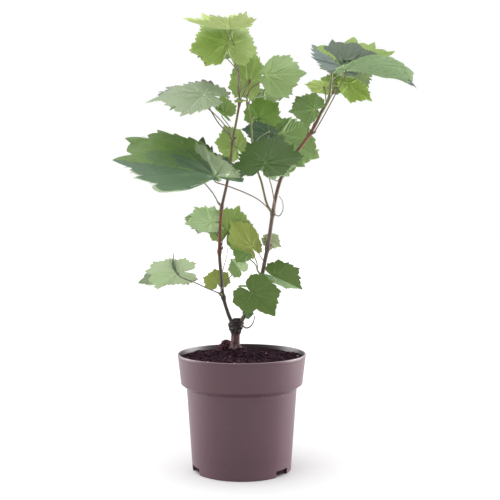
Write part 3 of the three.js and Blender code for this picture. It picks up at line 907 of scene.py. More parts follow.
    def flat(self, angles: Array, radii: Array) -> Array:
        """Gives points of the leaf laid flat.

        Args:
            angles: their angles.
            radii: their radii.

        Returns:
            Their places along the midrib and across it, in millimetres.
        """
        way = np.exp(1j * DEGREE * np.asarray(angles)) * radii * self.length
        broad = np.where(np.asarray(angles) > 0, *self.leaf.broad)
        return np.stack([way.real, way.imag * broad], -1)

    def quilt(self, angles: Array, radii: Array) -> Array:
        """Gives how far the blade stands up between its main veins, in millimetres."""
        rise = np.interp(np.abs(angles), *self.QUILT_RISE)
        return self.QUILT * self.length * radii**self.QUILT_CURVE * rise

    def surface(self, angles: Array, radii: Array) -> Array:
        """Gives where points of the flat leaf go: folded, waved and drooping.

        Args:
            angles: their angles.
            radii: their radii.

        Returns:
            Their places in millimetres.
        """
        leaf, fold = self.leaf, self.leaf.fold * DEGREE
        turned = np.asarray(angles) * DEGREE
        ahead, aside = np.moveaxis(self.flat(angles, radii), -1, 0)
        ripple = radii**2 * np.sin(self.WAVES * turned + self.phase)
        frill = self.FRILL * radii**4 * np.sin(self.FRILL_WAVES * turned - self.phase)
        height = np.abs(aside) * math.sin(fold) + leaf.wave * self.length * (ripple + frill)
        bow = self.length / self.bend
        reach = bow + height + self.quilt(angles, radii)
        turn = ahead / bow
        return (
            np.array(leaf.at) + self.along * (reach * np.sin(turn))[..., None]
            + self.across * (aside * math.cos(fold))[..., None]
            + self.off * (reach * np.cos(turn) - bow)[..., None]
        )

    def normals(self, angles: Array, radii: Array) -> Array:
        """Gives the upper face's normals at points of the flat leaf.

        Args:
            angles: their angles.
            radii: their radii.

        Returns:
            Their normals.
        """
        out, left, right = (
            self.surface(angles + turn, radii + self.NORMAL_STEP)
            for turn in (0, self.NORMAL_TURN, -self.NORMAL_TURN)
        )
        return unit(np.cross(out - self.surface(angles, radii), left - right))

    def veins(self) -> list[tuple[Array, Array, float, float]]:
        """Grows the vein network: main veins to the lobes and branches to the teeth.

        Returns:
            For each vein its angles, its radii and its thickness at both ends, in millimetres.
        """
        thick = max(self.LEAST_WIDTH, self.VEIN_WIDTH * self.length)
        steps = np.linspace(0, 1, self.VEIN_POINTS)
        branches = self.BRANCHES[self.size]
        found = []
        for main in self.MAINS:
            reach = float(self.radius(main)) * self.VEIN_END
            if reach < self.SHORT_VEIN:
                continue
            bow = self.VEIN_BOW * np.sin(steps * math.pi) * np.sign(main)
            found.append((main + bow, reach * steps, thick, self.VEIN_TAPER * thick))
            for branch in range(branches):
                start = self.BRANCH_FROM + self.BRANCH_SPAN * (branch + 0.5) / branches
                width = thick * (self.BRANCH_WIDTH - self.BRANCH_THINNING * start)
                for side, shift in ((-1, 0), (1, self.BRANCH_SHIFT)):
                    line = self.branch(main, reach * (start + shift), side)
                    if len(line) > 2:
                        found.append((*np.array(line).T, width, self.BRANCH_TAPER * width))
        return found

    def branch(self, main: float, start: float, side: int) -> list[Pair]:
        """Grows one branch until it meets the edge or the next main vein's ground.

        Args:
            main: the angle of the vein that it leaves.
            start: the radius where it leaves.
            side: which side it grows to, -1 or 1.

        Returns:
            Its points as angle and radius.
        """
        place = cmath.rect(start, main * DEGREE)
        heading = main + side * self.BRANCH_ANGLE
        line = [(float(main), start)]
        for _ in range(self.BRANCH_STEPS):
            place += cmath.rect(self.BRANCH_STEP, heading * DEGREE)
            angle = math.degrees(cmath.phase(place))
            away = abs((angle - main + 180) % 360 - 180)
            outside = abs(place) > float(self.radius(angle)) * self.VEIN_END
            if outside or away > self.SECTORS[abs(main)] or abs(angle) > self.BRANCH_LIMIT:
                break
            line.append((angle, abs(place)))
            heading -= side * self.BRANCH_CURL
        return line

    def relief(self, angles: Array, radii: Array, veins: Iterable[tuple]) -> Array:
        """Lets the blade bulge between its veins.

        Args:
            angles: the points' angles.
            radii: the points' radii.
            veins: the vein network.

        Returns:
            How far each point stands up, in millimetres.
        """
        points = self.flat(angles, radii).reshape(-1, 2)
        nearest = np.full(len(points), np.inf)
        for vein_angles, vein_radii, _, _ in veins:
            line = self.flat(vein_angles, vein_radii)
            for start, end in zip(line[:-1:2], line[2::2]):
                way = end - start
                share = np.clip((points - start) @ way / max(way @ way, 1e-9), 0, 1)
                gap = np.linalg.norm(points - start - share[:, None] * way, axis=1)
                nearest = np.minimum(nearest, gap)
        height = 1 - bell(nearest / (self.BULGE_SPREAD * self.length))
        return self.BULGE * self.length * height.reshape(np.shape(angles))

    def build(self, blades: Surface, ribs: Surface) -> None:
        """Adds the blade and its veins.

        Args:
            blades: the piece that takes the blade.
            ribs: the piece that takes the veins.
        """
        edge_angles, factors = self.edge()
        levels, count = self.LEVELS[self.size], len(edge_angles)
        shares = np.linspace(0, 1, levels + 1)[1:, None] ** self.RING_CURVE
        angles = np.broadcast_to(edge_angles, (levels, count))
        teeth = 1 - (1 - factors) * smooth(self.TEETH_FROM, 1, shares)
        radii = self.radius(edge_angles) * shares * teeth
        veins = self.veins()
        normals = self.normals(angles, radii)
        fade = 1 - self.BULGE_FADE * shares**self.FADE_CURVE
        bulge = (self.relief(angles, radii, veins) * fade)[..., None]
        upper = self.surface(angles, radii) + normals * bulge
        lower = upper - normals * self.THICKNESS * (1 - shares**self.THINNING)[..., None]
        middle = self.surface(np.zeros(1), np.zeros(1))
        face = self.face_slots(blades, edge_angles, shares, False)
        below = self.face_slots(blades, edge_angles, shares, True)
        first = blades.points([middle, middle - self.off * self.THICKNESS])
        top = blades.points(upper)
        bottom = blades.points(lower[:-1])
        here = np.arange(count)
        after = (here + 1) % count
        blades.join(first, top + here, top + after, slots=face[0])
        blades.join(first + 1, bottom + after, bottom + here, slots=below[0])
        rows = np.arange(levels)[:, None] * count
        low, high = top + rows[:-1], top + rows[1:]
        blades.join(low + here, high + here, high + after, low + after, slots=face[1:].ravel())
        low, high = bottom + rows[:-1], np.vstack([bottom + rows[1:-1], top + rows[-1:]])
        blades.join(low + here, low + after, high + after, high + here, slots=below[1:].ravel())
        for vein_angles, vein_radii, wide, narrow in veins:
            ribs.rings(self.rib(vein_angles, vein_radii, wide, narrow), self.leaf.vein)

    def face_slots(self, blades: Surface, edge: Array, shares: Array, under: bool) -> Array:
        """Gives one face's finishes: half by half, there lobe by lobe, then the patches.

        Args:
            blades: the piece that takes the blade.
            edge: the angles round the edge.
            shares: how far out each ring lies, rising to 1, as a column.
            under: whether this is the underside.

        Returns:
            One slot for each ring and each step from a point to the next.
        """
        leaf = self.leaf
        tones, patches = ((leaf.under,), leaf.back) if under else (leaf.tones, leaf.patches)
        lobes = max(len(tones) // 2, 1)
        middles = (edge + np.roll(edge, -1)) / 2
        middles[edge == 180] = -175
        lobe = np.searchsorted(self.LOBE_BREAKS[lobes], np.abs(middles))
        lobe += np.where(middles > 0, 0, len(tones) - lobes)
        slots = np.array([blades.finish_index(LeafFinish(tone, under)) for tone in tones])
        face = np.tile(slots[lobe], (len(shares), 1))
        rings = (np.vstack([[[0]], shares[:-1]]) + shares) / 2
        for order, patch in enumerate(patches):
            turned = middles * DEGREE * self.PATCH_WAVES + self.phase + order
            wave = np.sin(turned) + self.SECOND_WAVE * np.sin(self.SECOND_WAVES * turned + 1)
            far = rings + patch.wander * wave
            sway = self.PATCH_SWAY * np.sin(rings * self.SWAY_WAVES + self.phase)
            angle = middles + patch.wander * sway
            within = (far > patch.inner) & (far < patch.outer)
            within &= (angle > patch.low) & (angle < patch.high)
            face[within] = blades.finish_index(LeafFinish(patch.tone, under))
        return face

    def rib(self, angles: Array, radii: Array, wide: float, narrow: float) -> Array:
        """Gives the rings of one vein, half sunk in the blade.

        Args:
            angles: the angles of its points.
            radii: their radii.
            wide: its thickness at its foot, in millimetres.
            narrow: its thickness at its end.

        Returns:
            Places, by ring and by step round it.
        """
        radii = np.maximum(radii, self.RIB_FOOT)
        normals = self.normals(angles, radii)
        centres = self.surface(angles, radii) - normals * self.THICKNESS / 2
        sides = unit(np.cross(unit(np.gradient(centres, axis=0)), normals))
        thick = np.linspace(wide, narrow, len(angles))[:, None, None]
        turns = (circle(self.RIB_SIDES) + math.pi / 2)[:, None]
        round_ = normals[:, None] * np.sin(turns) + sides[:, None] * np.cos(turns)
        return centres[:, None] + round_ * thick

    def stalk_path(self, start: Array) -> Path:
        """Gives the stalk's centre line, by the source's rule.

        Args:
            start: where it leaves its stem.

        Returns:
            The path from there into the blade, on the side of it that the stalk is on.
        """
        end = np.array(self.leaf.at, float)
        distance = float(np.linalg.norm(end - start))
        way = (end - start) / distance
        points = [start, *np.array(self.leaf.via, float).reshape(-1, 3)]
        side = -1 if (end - points[-1]).dot(self.off) < 0 else 1
        arrive = unit(way * self.STALK_ARRIVE + self.off * side)
        if len(points) == 1:
            leave = way * self.STALK_LEAVE + np.array(self.stalk_draws) * self.STALK_DRAW
            points.append(start + leave * self.STALK_MIDDLE * distance)
        before = end - arrive * min(self.STALK_END * distance, self.LONGEST_END)
        return Path([*points, before, end - self.off * self.THICKNESS / 2])


@dataclass(frozen=True)
class Mass:
    """A mass of leaves on one stem."""

    seed: int
    stem: tuple[Point, ...]
    leaves: tuple[Leaf, ...] = ()
    rear: tuple[Rear, ...] = ()
    bark: PlainFinish = STALK_OLIVE
    stout: float = 1

    STEM_RADIUS, STEM_TAPER = 1.5, 0.3
    STEM_SIDES, STEM_STEP, FEWEST_STEPS = 12, 1.2, 6
    SWELL, SWELL_RUN = 0.08, 2.6
    STALK_RADIUS, THIN = 0.9, 0.86
    STALK_SIDES, STALK_STEP, FEWEST_STALK_STEPS = 10, 1.6, 10
    FOOT, FOOT_RUN = 0.55, 3
    HEAD, HEAD_RUN = 0.25, 2

    def build(self, blades: Surface, ribs: Surface, stalks: Surface) -> None:
        """Adds the mass's leaves, stalks and stem.

        Args:
            blades: the piece that takes the blades.
            ribs: the piece that takes the veins.
            stalks: the piece that takes stem and stalks.
        """
        random = Seeded(self.seed)
        line = Path(self.stem)
        shares = np.linspace(0, 1, max(self.FEWEST_STEPS, int(line.length / self.STEM_STEP)))
        swell = 1 + self.SWELL * np.sin(shares * line.length / self.SWELL_RUN)
        radii = self.STEM_RADIUS * self.stout * (1 - self.STEM_TAPER * shares) * swell
        stalks.rings(tube(line, shares, radii, self.STEM_SIDES), self.bark)
        hidden = [rear.grow(random) for rear in self.rear]
        for leaf in (*self.leaves, *hidden):
            blade = Blade(leaf, random)
            path = blade.stalk_path(line.at([leaf.on])[0])
            count = max(self.FEWEST_STALK_STEPS, int(path.length / self.STALK_STEP))
            steps = np.linspace(0, 1, count)
            foot = self.FOOT * bell(steps * path.length / self.FOOT_RUN)
            head = self.HEAD * bell((1 - steps) * path.length / self.HEAD_RUN)
            thick = self.STALK_RADIUS * leaf.stalk * (self.THIN + foot + head)
            stalks.rings(tube(path, steps, thick, self.STALK_SIDES), leaf.stem)
            blade.build(blades, ribs)


UPPER_LEFT = {
    "top_left_leaves": Mass(21, ((-2.2, 8, 488), (-4.6, 8, 503), (-4.6, 8, 528), (-7.7, 7, 545)), (
        Leaf((-14.4, -6, 579), (-63, -14, 8), (0.05, -0.2, 1), fold=24, droop=-16, wave=0.085,
             # The underside's tone is painted light: the glow of a backlit blade.
             tones=(Tone.YOUNG,), under=Tone.SUNLIT, ragged=1.9, lobing=3),
        Leaf((-18.5, 7, 564), (-4, 46, 40), (0.1, -0.62, 0.79), on=0.05, droop=30,
             # The lighter right half and the lit strip along the left margin are painted light.
             broad=(0.86, 0.72), base=(1.35, 1.25), tones=(Tone.GRASS, Tone.GLOW),
             patches=(Patch(Tone.LIT, 30, 170, 0.92),), ragged=1.1, stem=STALK_RED),
        Leaf((9, 27, 514), (10, 6, 46), (-0.2, -0.9, 0.2), on=0.1, broad=(0.8, 0.5),
             tones=(Tone.FRESH,)),
        Leaf((0, -4, 487), (-9, -7, -4), (0, -0.3, 1), on=0.02),
    ), (Rear((-28, 66, 566), 46, on=0.4),), SHOOT_GREEN),
    "left_upper_leaves": Mass(22, ((-12.2, 6, 436), (-15.5, 2, 442)), (
        Leaf((-48.5, -20, 492), (-74, -15, -15), (-0.1, -0.55, 0.85), droop=30, wave=-0.06,
             broad=(1.1, 0.7), base=(0.6, 1.22), via=((-30, -6, 457), (-42, -14, 476)),
             tones=(Tone.DUSTY_SHEEN,), patches=(Patch(Tone.PURPLE, -150, -12, 0.93),),
             ragged=1.6, lobing=1.6, vein=VEIN_PALE, stem=STALK_GREY),
        Leaf((-23.5, -7, 470), (-20, -8, 15), (-0.2, -0.7, 0.6), fold=40, stalk=0.8,
             tones=(Tone.MOSS, Tone.MIDDLE), stem=STALK_GREY),
    ), (Rear((-60, 50, 494), 46, via=((-24, 16, 458), (-44, 34, 479))),)),
    "left_lit_leaf": Mass(23, ((-12.4, 6, 433), (-11, 12, 431)), (
        Leaf((-7, 22, 428), (-17, 3, 30), (0.1, -0.9, 0.3), broad=(1, 0.7), tones=(Tone.FRESH,)),
    )),
    "left_rear_leaf": Mass(24, ((-26.3, 3, 348), (-31, -1, 353)), (
        Leaf((-58, 12, 388), (6, 14, 54), (0, -0.95, 0.2), broad=(0.9, 0.7), base=(0.3, 0.4),
             tones=(Tone.SHADE,), vein=VEIN_DARK, stem=STALK_GREY),
    )),
    "big_left_leaf": Mass(25, ((41, -4, 341), (36, -9, 345)), (
        Leaf((-33.3, -45, 385.3), (-126, -30, 21), (-0.15, -0.55, 0.82), droop=16, fold=4,
             cut=(0.06, -0.02), broad=(1.15, 0.84), base=(0.12, 0.72),
             shoulder=((42, 60), (46, 88)), via=((22, -20, 357), (4, -32, 366), (-17, -40, 374)),
             # Lobe tones and patches paint light and shade: lighter lobes where the blade is lit, a
             # painted highlight along the lit margin of the left half, painted sheen over a sector of the
             # right half and painted shade on a lobe's tip.
             tones=(Tone.BLUE, Tone.BLUE, Tone.SAGE, Tone.MOSS, Tone.MOSS, Tone.BLUE),
             patches=(Patch(Tone.DUSTY_SHEEN, 12, 100, 0.982), Patch(Tone.FERN, -180, 0, 0, 0.62, 0.07),
                      Patch(Tone.BLUE, -180, 0, 0, 0.4, 0.06),
                      Patch(Tone.DUSTY_SHEEN, -150, -68, 0, 0.9, 0.05),
                      Patch(Tone.SHADE, -125, -100, 0.8)),
             ragged=1.2, vein=VEIN_DARK, stem=STALK_RED),
    )),
}

UPPER_MIDDLE = {
    "centre_leaf": Mass(26, ((42, -4, 343), (43, -9, 350)), (
        Leaf((30.4, -28, 404), (24, 38, 40), (-0.15, -0.8, 0.6), fold=-8, base=(1, 0.8),
             tones=(Tone.DARK,),
             # The dark patch along the base of the left half's margin is painted shade.
             patches=(Patch(Tone.SHADE, 125, 180, 0.85), Patch(Tone.SAGE, -150, -75, 0.84)),
             ragged=1.3, vein=VEIN_DARK, stem=STALK_RED),
    )),
    "middle_top_leaves": Mass(27, ((7, 9, 483), (7, 9, 494)), (
        Leaf((33, -6, 519.6), (52, -6, 1), (0, -0.85, 0.5), fold=-8, base=(0.42, 0.42),
             shoulder=((70, 112), (70, 112)), tones=(Tone.SPRING,),
             patches=(Patch(Tone.SAGE, -60, 60, 0.95),), stem=STALK_RED),
    ), bark=SHOOT_GREEN),
    "middle_dark_leaf": Mass(28, ((12, 9, 456), (13, 15, 459)), (
        Leaf((23, 58, 469), (28, 6, 24), (-0.1, -0.9, 0.3), base=(0.9, 0.7),
             tones=(Tone.DEEP,), vein=VEIN_DARK),
    )),
    "middle_folded_leaf": Mass(29, ((14.4, 9, 429), (18, 14, 431)), (
        Leaf((37, 34, 447), (-38, -2, 5), (0, -0.8, 0.6), broad=(0.9, 0.7), base=(0.7, 0.7),
             tones=(Tone.BLUE,), vein=VEIN_DARK),
    )),
}

UPPER_RIGHT = {
    "right_inner_leaves": Mass(30, ((66, 2, 411), (65, 9, 414)), (
        Leaf((47, 58, 446), (60, 10, -30), (0.1, -0.9, 0.35), broad=(0.85, 1), base=(0.6, 0.8),
             tones=(Tone.SOFT,)),
    )),
    "right_front_leaf": Mass(31, ((90, 4, 444), (87, -2, 448)), (
        Leaf((94, -14, 474), (-34, -6, -4), (0, -0.85, 0.5), base=(0.4, 1.1),
             tones=(Tone.MOSS,)),
    )),
    "right_outer_leaf": Mass(32, ((90, 4, 443), (95, -1, 445)), (
        Leaf((134.5, -20, 525), (91, -8, -26), (0.05, 0.1, 1), droop=48, cut=(0, 0),
             broad=(0.6, 1.05), base=(0.35, 0.3), shoulder=((45, 85), (45, 85)),
             via=((107, -10, 466), (124, -16, 498)), tones=(Tone.SAGE,),
             patches=(Patch(Tone.PURPLE, -9, 9, 0.95),), under=Tone.SMOOTH,
             back=(Patch(Tone.GREY, -12, 12, 0.86),), ragged=0.45, lobing=0.5, vein=VEIN_SAGE,
             stem=TENDRIL),
    )),
    "right_top_leaves": Mass(33, ((105.5, 4, 473), (114.5, 4, 490), (117, 4, 509), (118.7, 4, 527)), (
        Leaf((135, 22, 535), (20, 54, 50), (-0.05, -0.65, 0.75), on=0.6, broad=(1, 1.2),
             base=(0.5, 0.5), ragged=1.5, vein=VEIN_DARK,
             # The dark lobes are painted shade, and the two bright strips are painted light where the
             # blade is lit from behind.
             tones=(Tone.SHADE, Tone.GREY, Tone.GREY, Tone.SHADE, Tone.SHADE, Tone.SHADE),
             patches=(Patch(Tone.SUNNY, 41, 51, 0.15), Patch(Tone.SUNNY, -70, 8, 0.72))),
        Leaf((141, 21, 513), (32, -7, -26), (0.3, -0.75, 0.5), on=0.5, base=(0.5, 0.6),
             broad=(0.65, 0.95), tones=(Tone.LIT,)),
        Leaf((122, 22, 505), (3, 8, 25), (0, -0.9, 0.3), on=0.4, base=(0.6, 0.6),
             tones=(Tone.FRESH,)),
        Leaf((109, 18, 507), (-26, 2, 4), (0, -0.9, 0.3), on=0.2, broad=(0.55, 0.5),
             tones=(Tone.YOUNG,)),
    ), (Rear((136, 60, 536), 48, on=0.45),), SHOOT_GREEN, 1.6),
}

LOWER = {
    "left_middle_leaves": Mass(34, ((-29.7, 3, 292), (-27, 9, 297)), (
        Leaf((-41.4, 12, 327), (-35, -6, -2), (-0.1, -0.85, 0.4), broad=(0.65, 1),
             tones=(Tone.PALE,), patches=(Patch(Tone.GREY, 20, 120, 0.94),), ragged=1.5,
             vein=VEIN_PALE),
        Leaf((-18.4, 16, 314), (15, 6, 36), (0, -0.9, 0.3), tones=(Tone.FRESH,)),
    ), (Rear((-54, 46, 339), 28),)),
    "low_left_leaves": Mass(35, ((-25.1, 6, 229), (-29, 1, 233)), (
        Leaf((-83, -20, 262), (-51, -12, -12), (0, 0.75, 0.65), droop=20, wave=0.06,
             broad=(0.7, 0.65), via=((-44, -6, 240), (-62, -13, 249)), under=Tone.UNDER,
             back=(Patch(Tone.DUSTY_SHEEN, -18, 18, 0.68), Patch(Tone.RUSTY, -180, -70, 0.965),
                   Patch(Tone.PALE, -70, 20, 0.25, 0.75)),
             ragged=1.2, vein=VEIN_PALE, stem=STALK_GREY),
        Leaf((-3, -6, 266), (-12, -2, 14), (0, -0.9, 0.3), stalk=0.8,
             tones=(Tone.SOFT, Tone.PALE), stem=STALK_GREY),
    )),
    "low_left_small_leaf": Mass(36, ((-25.8, 6, 236), (-26, 12, 240)), (
        Leaf((-33, 13, 247), (-4, 6, 18), (0, -0.9, 0.3), broad=(1.3, 1.3),
             tones=(Tone.YELLOW,)),
    )),
    "low_right_leaves": Mass(37, ((26, 2, 254), (26, -5, 257)), (
        Leaf((43.5, -10, 256), (36, -10, -16), (0.1, -0.75, 0.6), on=0.7, broad=(1, 0.4),
             tones=(Tone.LUSH, Tone.SAGE), vein=VEIN_DARK),
        Leaf((13.6, -24, 235), (30, -10, -29), (0.05, -0.9, 0.35), broad=(1, 0.85),
             bays=((-38, 22, 0.3),), tones=(Tone.LUSH,), ragged=0.75, vein=VEIN_DARK),
    )),
    "low_middle_leaves": Mass(38, ((26.4, 2, 256), (21, 5, 263)), (
        Leaf((12, 6, 295), (-29, 2, 36), (0.1, -0.9, 0.3), broad=(0.62, 0.62), base=(0.7, 0.7),
             tones=(Tone.YELLOW,)),
        Leaf((9, -6, 287), (-25, -6, 8), (0, -0.6, 0.8), fold=-30, base=(0.5, 0.5),
             tones=(Tone.MOSS, Tone.MIDDLE), vein=VEIN_DARK),
    )),
    "right_small_leaf": Mass(39, ((34.4, -2, 296), (34, 5, 299)), (
        Leaf((31, 11, 306), (22, -3, -12), (0.2, -0.8, 0.5), broad=(0.8, 0.8), base=(0.4, 0.4),
             tones=(Tone.FADED,)),
    )),
    "head_sprout": Mass(45, ((-1, 6, 196), (2, 3, 203)), (
        Leaf((7, -2, 207), (9, -1, 8), (-0.3, -0.8, 0.5), stalk=0.7, tones=(Tone.DARK,),
             vein=VEIN_DARK, stem=TENDRIL),
    ), bark=TENDRIL),
}

REAR = {
    "rear_left_leaf": Mass(41, ((-19.3, 4, 380), (-20, 11, 384)), rear=(
        Rear((-56, 80, 408), 56),
    )),
    "rear_middle_leaf": Mass(42, ((8.6, 9, 475), (9, 15, 478)), rear=(
        Rear((30, 66, 508), 54),
    )),
    "rear_right_leaves": Mass(43, ((52, -1, 386), (52, 7, 387)), rear=(
        Rear((70, 102, 424), 54, via=((58, 50, 390),)),
        Rear((32, 90, 412), 44, via=((46, 46, 384),)),
    )),
    "rear_low_leaf": Mass(44, ((16, 5, 225), (16, 12, 228)), rear=(
        Rear((20, 52, 239), 32),
    )),
}


@dataclass(frozen=True)
class Foliage:
    """All masses of leaves, joined by region into blades, veins and stalks."""

    regions: tuple[tuple[str, dict[str, Mass]], ...] = (
        ("upper_left", UPPER_LEFT), ("upper_middle", UPPER_MIDDLE), ("upper_right", UPPER_RIGHT),
        ("lower", LOWER), ("rear", REAR),
    )

    def build(self) -> None:
        """Builds each region's blades, then all veins and all stalks."""
        ribs, stalks = Surface("leaf_veins"), Surface("leaf_stalks")
        for region, masses in self.regions:
            blades = Surface(f"{region}_blades")
            for mass in masses.values():
                mass.build(blades, ribs, stalks)
            blades.build("leaf", tuple(masses), angle=70)
        ribs.build("leaf", angle=80)
        stalks.build("shoot", angle=70)


@dataclass(frozen=True)
class Limb:
    """A cane or shoot: a tapering limb with swollen joints, fibres and a bud at each joint.

    Each grain is given by its width round the limb, its run along it, whether its pattern moves
    up or down with the seed, and its depth.
    """

    name: str
    line: tuple[Point, ...]
    radii: Pair
    joints: tuple[float, ...]
    finish: BarkFinish
    slot: str
    seed: int

    SWELL, REACH = 0.45, 3.4
    SIDES, STEP = 28, 1.1
    GRAINS = ((3.1, 0.035, 1, 0.09), (7, 0.12, -1, 0.05))
    JOINT_ROUGHNESS = 0.8
    BUD_RISE, BUD_TOP, BUD_SEAT = 2.2, 0.995, 0.7
    BUD_LEAN, BUD_SIZE, BUD_GIRTH = (-0.4, 0.4), (2.6, 3.8), 0.42
    BUD_RINGS, BUD_SIDES, BUD_POINT = 9, 10, 1.5
    BUD_BELLY, BUD_CURVE, BUD_LEAST = (0.25, 0.99), 0.8, 0.05

    def build(self) -> None:
        """Builds the limb and its buds."""
        surface = Surface(f"{self.name}_wood")
        path = Path(self.line)
        shares = np.linspace(0, 1, int(path.length / self.STEP))
        away = (shares[:, None] - np.array(self.joints)) * path.length
        swell = bell(away / self.REACH).sum(1)
        radii = np.interp(shares, (0, 1), self.radii) * (1 + self.SWELL * swell)
        relief = np.array([
            [self.grain(angle, share * path.length) for angle in circle(self.SIDES)]
            for share in shares
        ])
        rough = 1 + relief * (1 + self.JOINT_ROUGHNESS * swell[:, None])
        surface.rings(tube(path, shares, radii[:, None] * rough, self.SIDES), self.finish)
        random = Seeded(self.seed)
        for order, joint in enumerate(self.joints):
            self.bud(surface, path, joint, (-1) ** order, random)
        surface.build(self.slot, (self.name,), angle=75)

    def grain(self, angle: float, far: float) -> float:
        """Gives the fibres' height at one place, as a share of the radius."""
        places = ((depth, width, far * run + sign * self.seed) for width, run, sign, depth in self.GRAINS)
        return sum(depth * noise_round(angle, width, along) for depth, width, along in places)

    def bud(self, surface: Surface, path: Path, joint: float, side: int, random: Seeded) -> None:
        """Adds a pointed bud just above a joint.

        Args:
            surface: the piece that takes it.
            path: the limb's centre line.
            joint: the joint's share of the length.
            side: which side it is on, -1 or 1.
            random: the limb's stream.
        """
        above = min(joint + self.BUD_RISE / path.length, self.BUD_TOP)
        centres, normals, binormals = path.frames(np.array([above, min(above + 0.01, 1)]))
        rise = unit(centres[1] - centres[0])
        out = (normals[0] * random.between(*self.BUD_LEAN) + binormals[0]) * side
        start = centres[0] + out * float(np.interp(joint, (0, 1), self.radii)) * self.BUD_SEAT
        size = random.between(*self.BUD_SIZE)
        line = Path([start, start + (out + rise) * size / 2, start + (out + rise * self.BUD_POINT) * size])
        steps = np.linspace(0, 1, self.BUD_RINGS)
        belly = np.sin(np.pi * np.linspace(*self.BUD_BELLY, self.BUD_RINGS)) ** self.BUD_CURVE
        girth = np.maximum(size * self.BUD_GIRTH * belly, self.BUD_LEAST)
        surface.rings(tube(line, steps, girth, self.BUD_SIDES), BUD)


LIMBS = (
    Limb(
        "left_cane",
        ((-9, 11, 188), (-13.3, 10, 194), (-19.7, 8, 210), (-25.1, 6, 230), (-27.4, 4, 256),
         (-29.7, 3, 290), (-27.6, 3, 336), (-26.3, 3, 348), (-19.3, 4, 380), (-15.2, 5, 402),
         (-12.2, 6, 436), (-8.1, 7, 456), (-2.2, 8, 489)),
        (2.5, 1.45), (0.14, 0.34, 0.53, 0.82, 0.985),
        BarkFinish(
            "left_cane_bark",
            ((0.0, 0x2E2624), (0.28, 0x3A2D28), (0.34, 0x5A2A22), (0.48, 0x6A2E24),
             (0.53, 0x4A382C), (0.75, 0x5E4A34), (0.86, 0x5F5A38), (0.97, 0x64542F),
             (1.0, 0x6A3A2C)),
            0.188, 0.49,
        ),
        "cane", 61,
    ),
    Limb(
        "right_cane",
        ((-3, 10, 190), (1.8, 9, 200), (13.4, 6, 217), (26, 2, 254), (30, 0, 274),
         (34.4, -2, 295), (41, -4, 340), (46, -3, 366), (52.5, -1, 387), (66, 2, 411),
         (83, 4, 434), (90, 4, 444), (97, 4, 456), (105.5, 4, 474)),
        (2.85, 2.1), (0.22, 0.36, 0.51, 0.89),
        BarkFinish(
            "right_cane_bark",
            ((0.0, 0x332A28), (0.3, 0x44372F), (0.5, 0x554840), (0.56, 0x5A443A),
             (0.8, 0x58442F), (0.88, 0x6E4430), (1.0, 0x5A5636)),
            0.19, 0.475,
        ),
        "cane", 62,
    ),
    Limb(
        "middle_shoot",
        ((41, -4, 338), (33.8, -2, 350), (25.6, 4, 382), (21.5, 7, 394), (14.4, 9, 428),
         (11.9, 9, 460), (7, 9, 484)),
        (1.6, 1.1), (0.62, 0.98),
        BarkFinish(
            "middle_shoot_bark", ((0.0, 0x6A5A46), (0.4, 0x6C6A42), (1.0, 0x66713C)),
            0.338, 0.484, fibre=0x98A065, depth=0.0003,
        ),
        "shoot", 63,
    ),
)


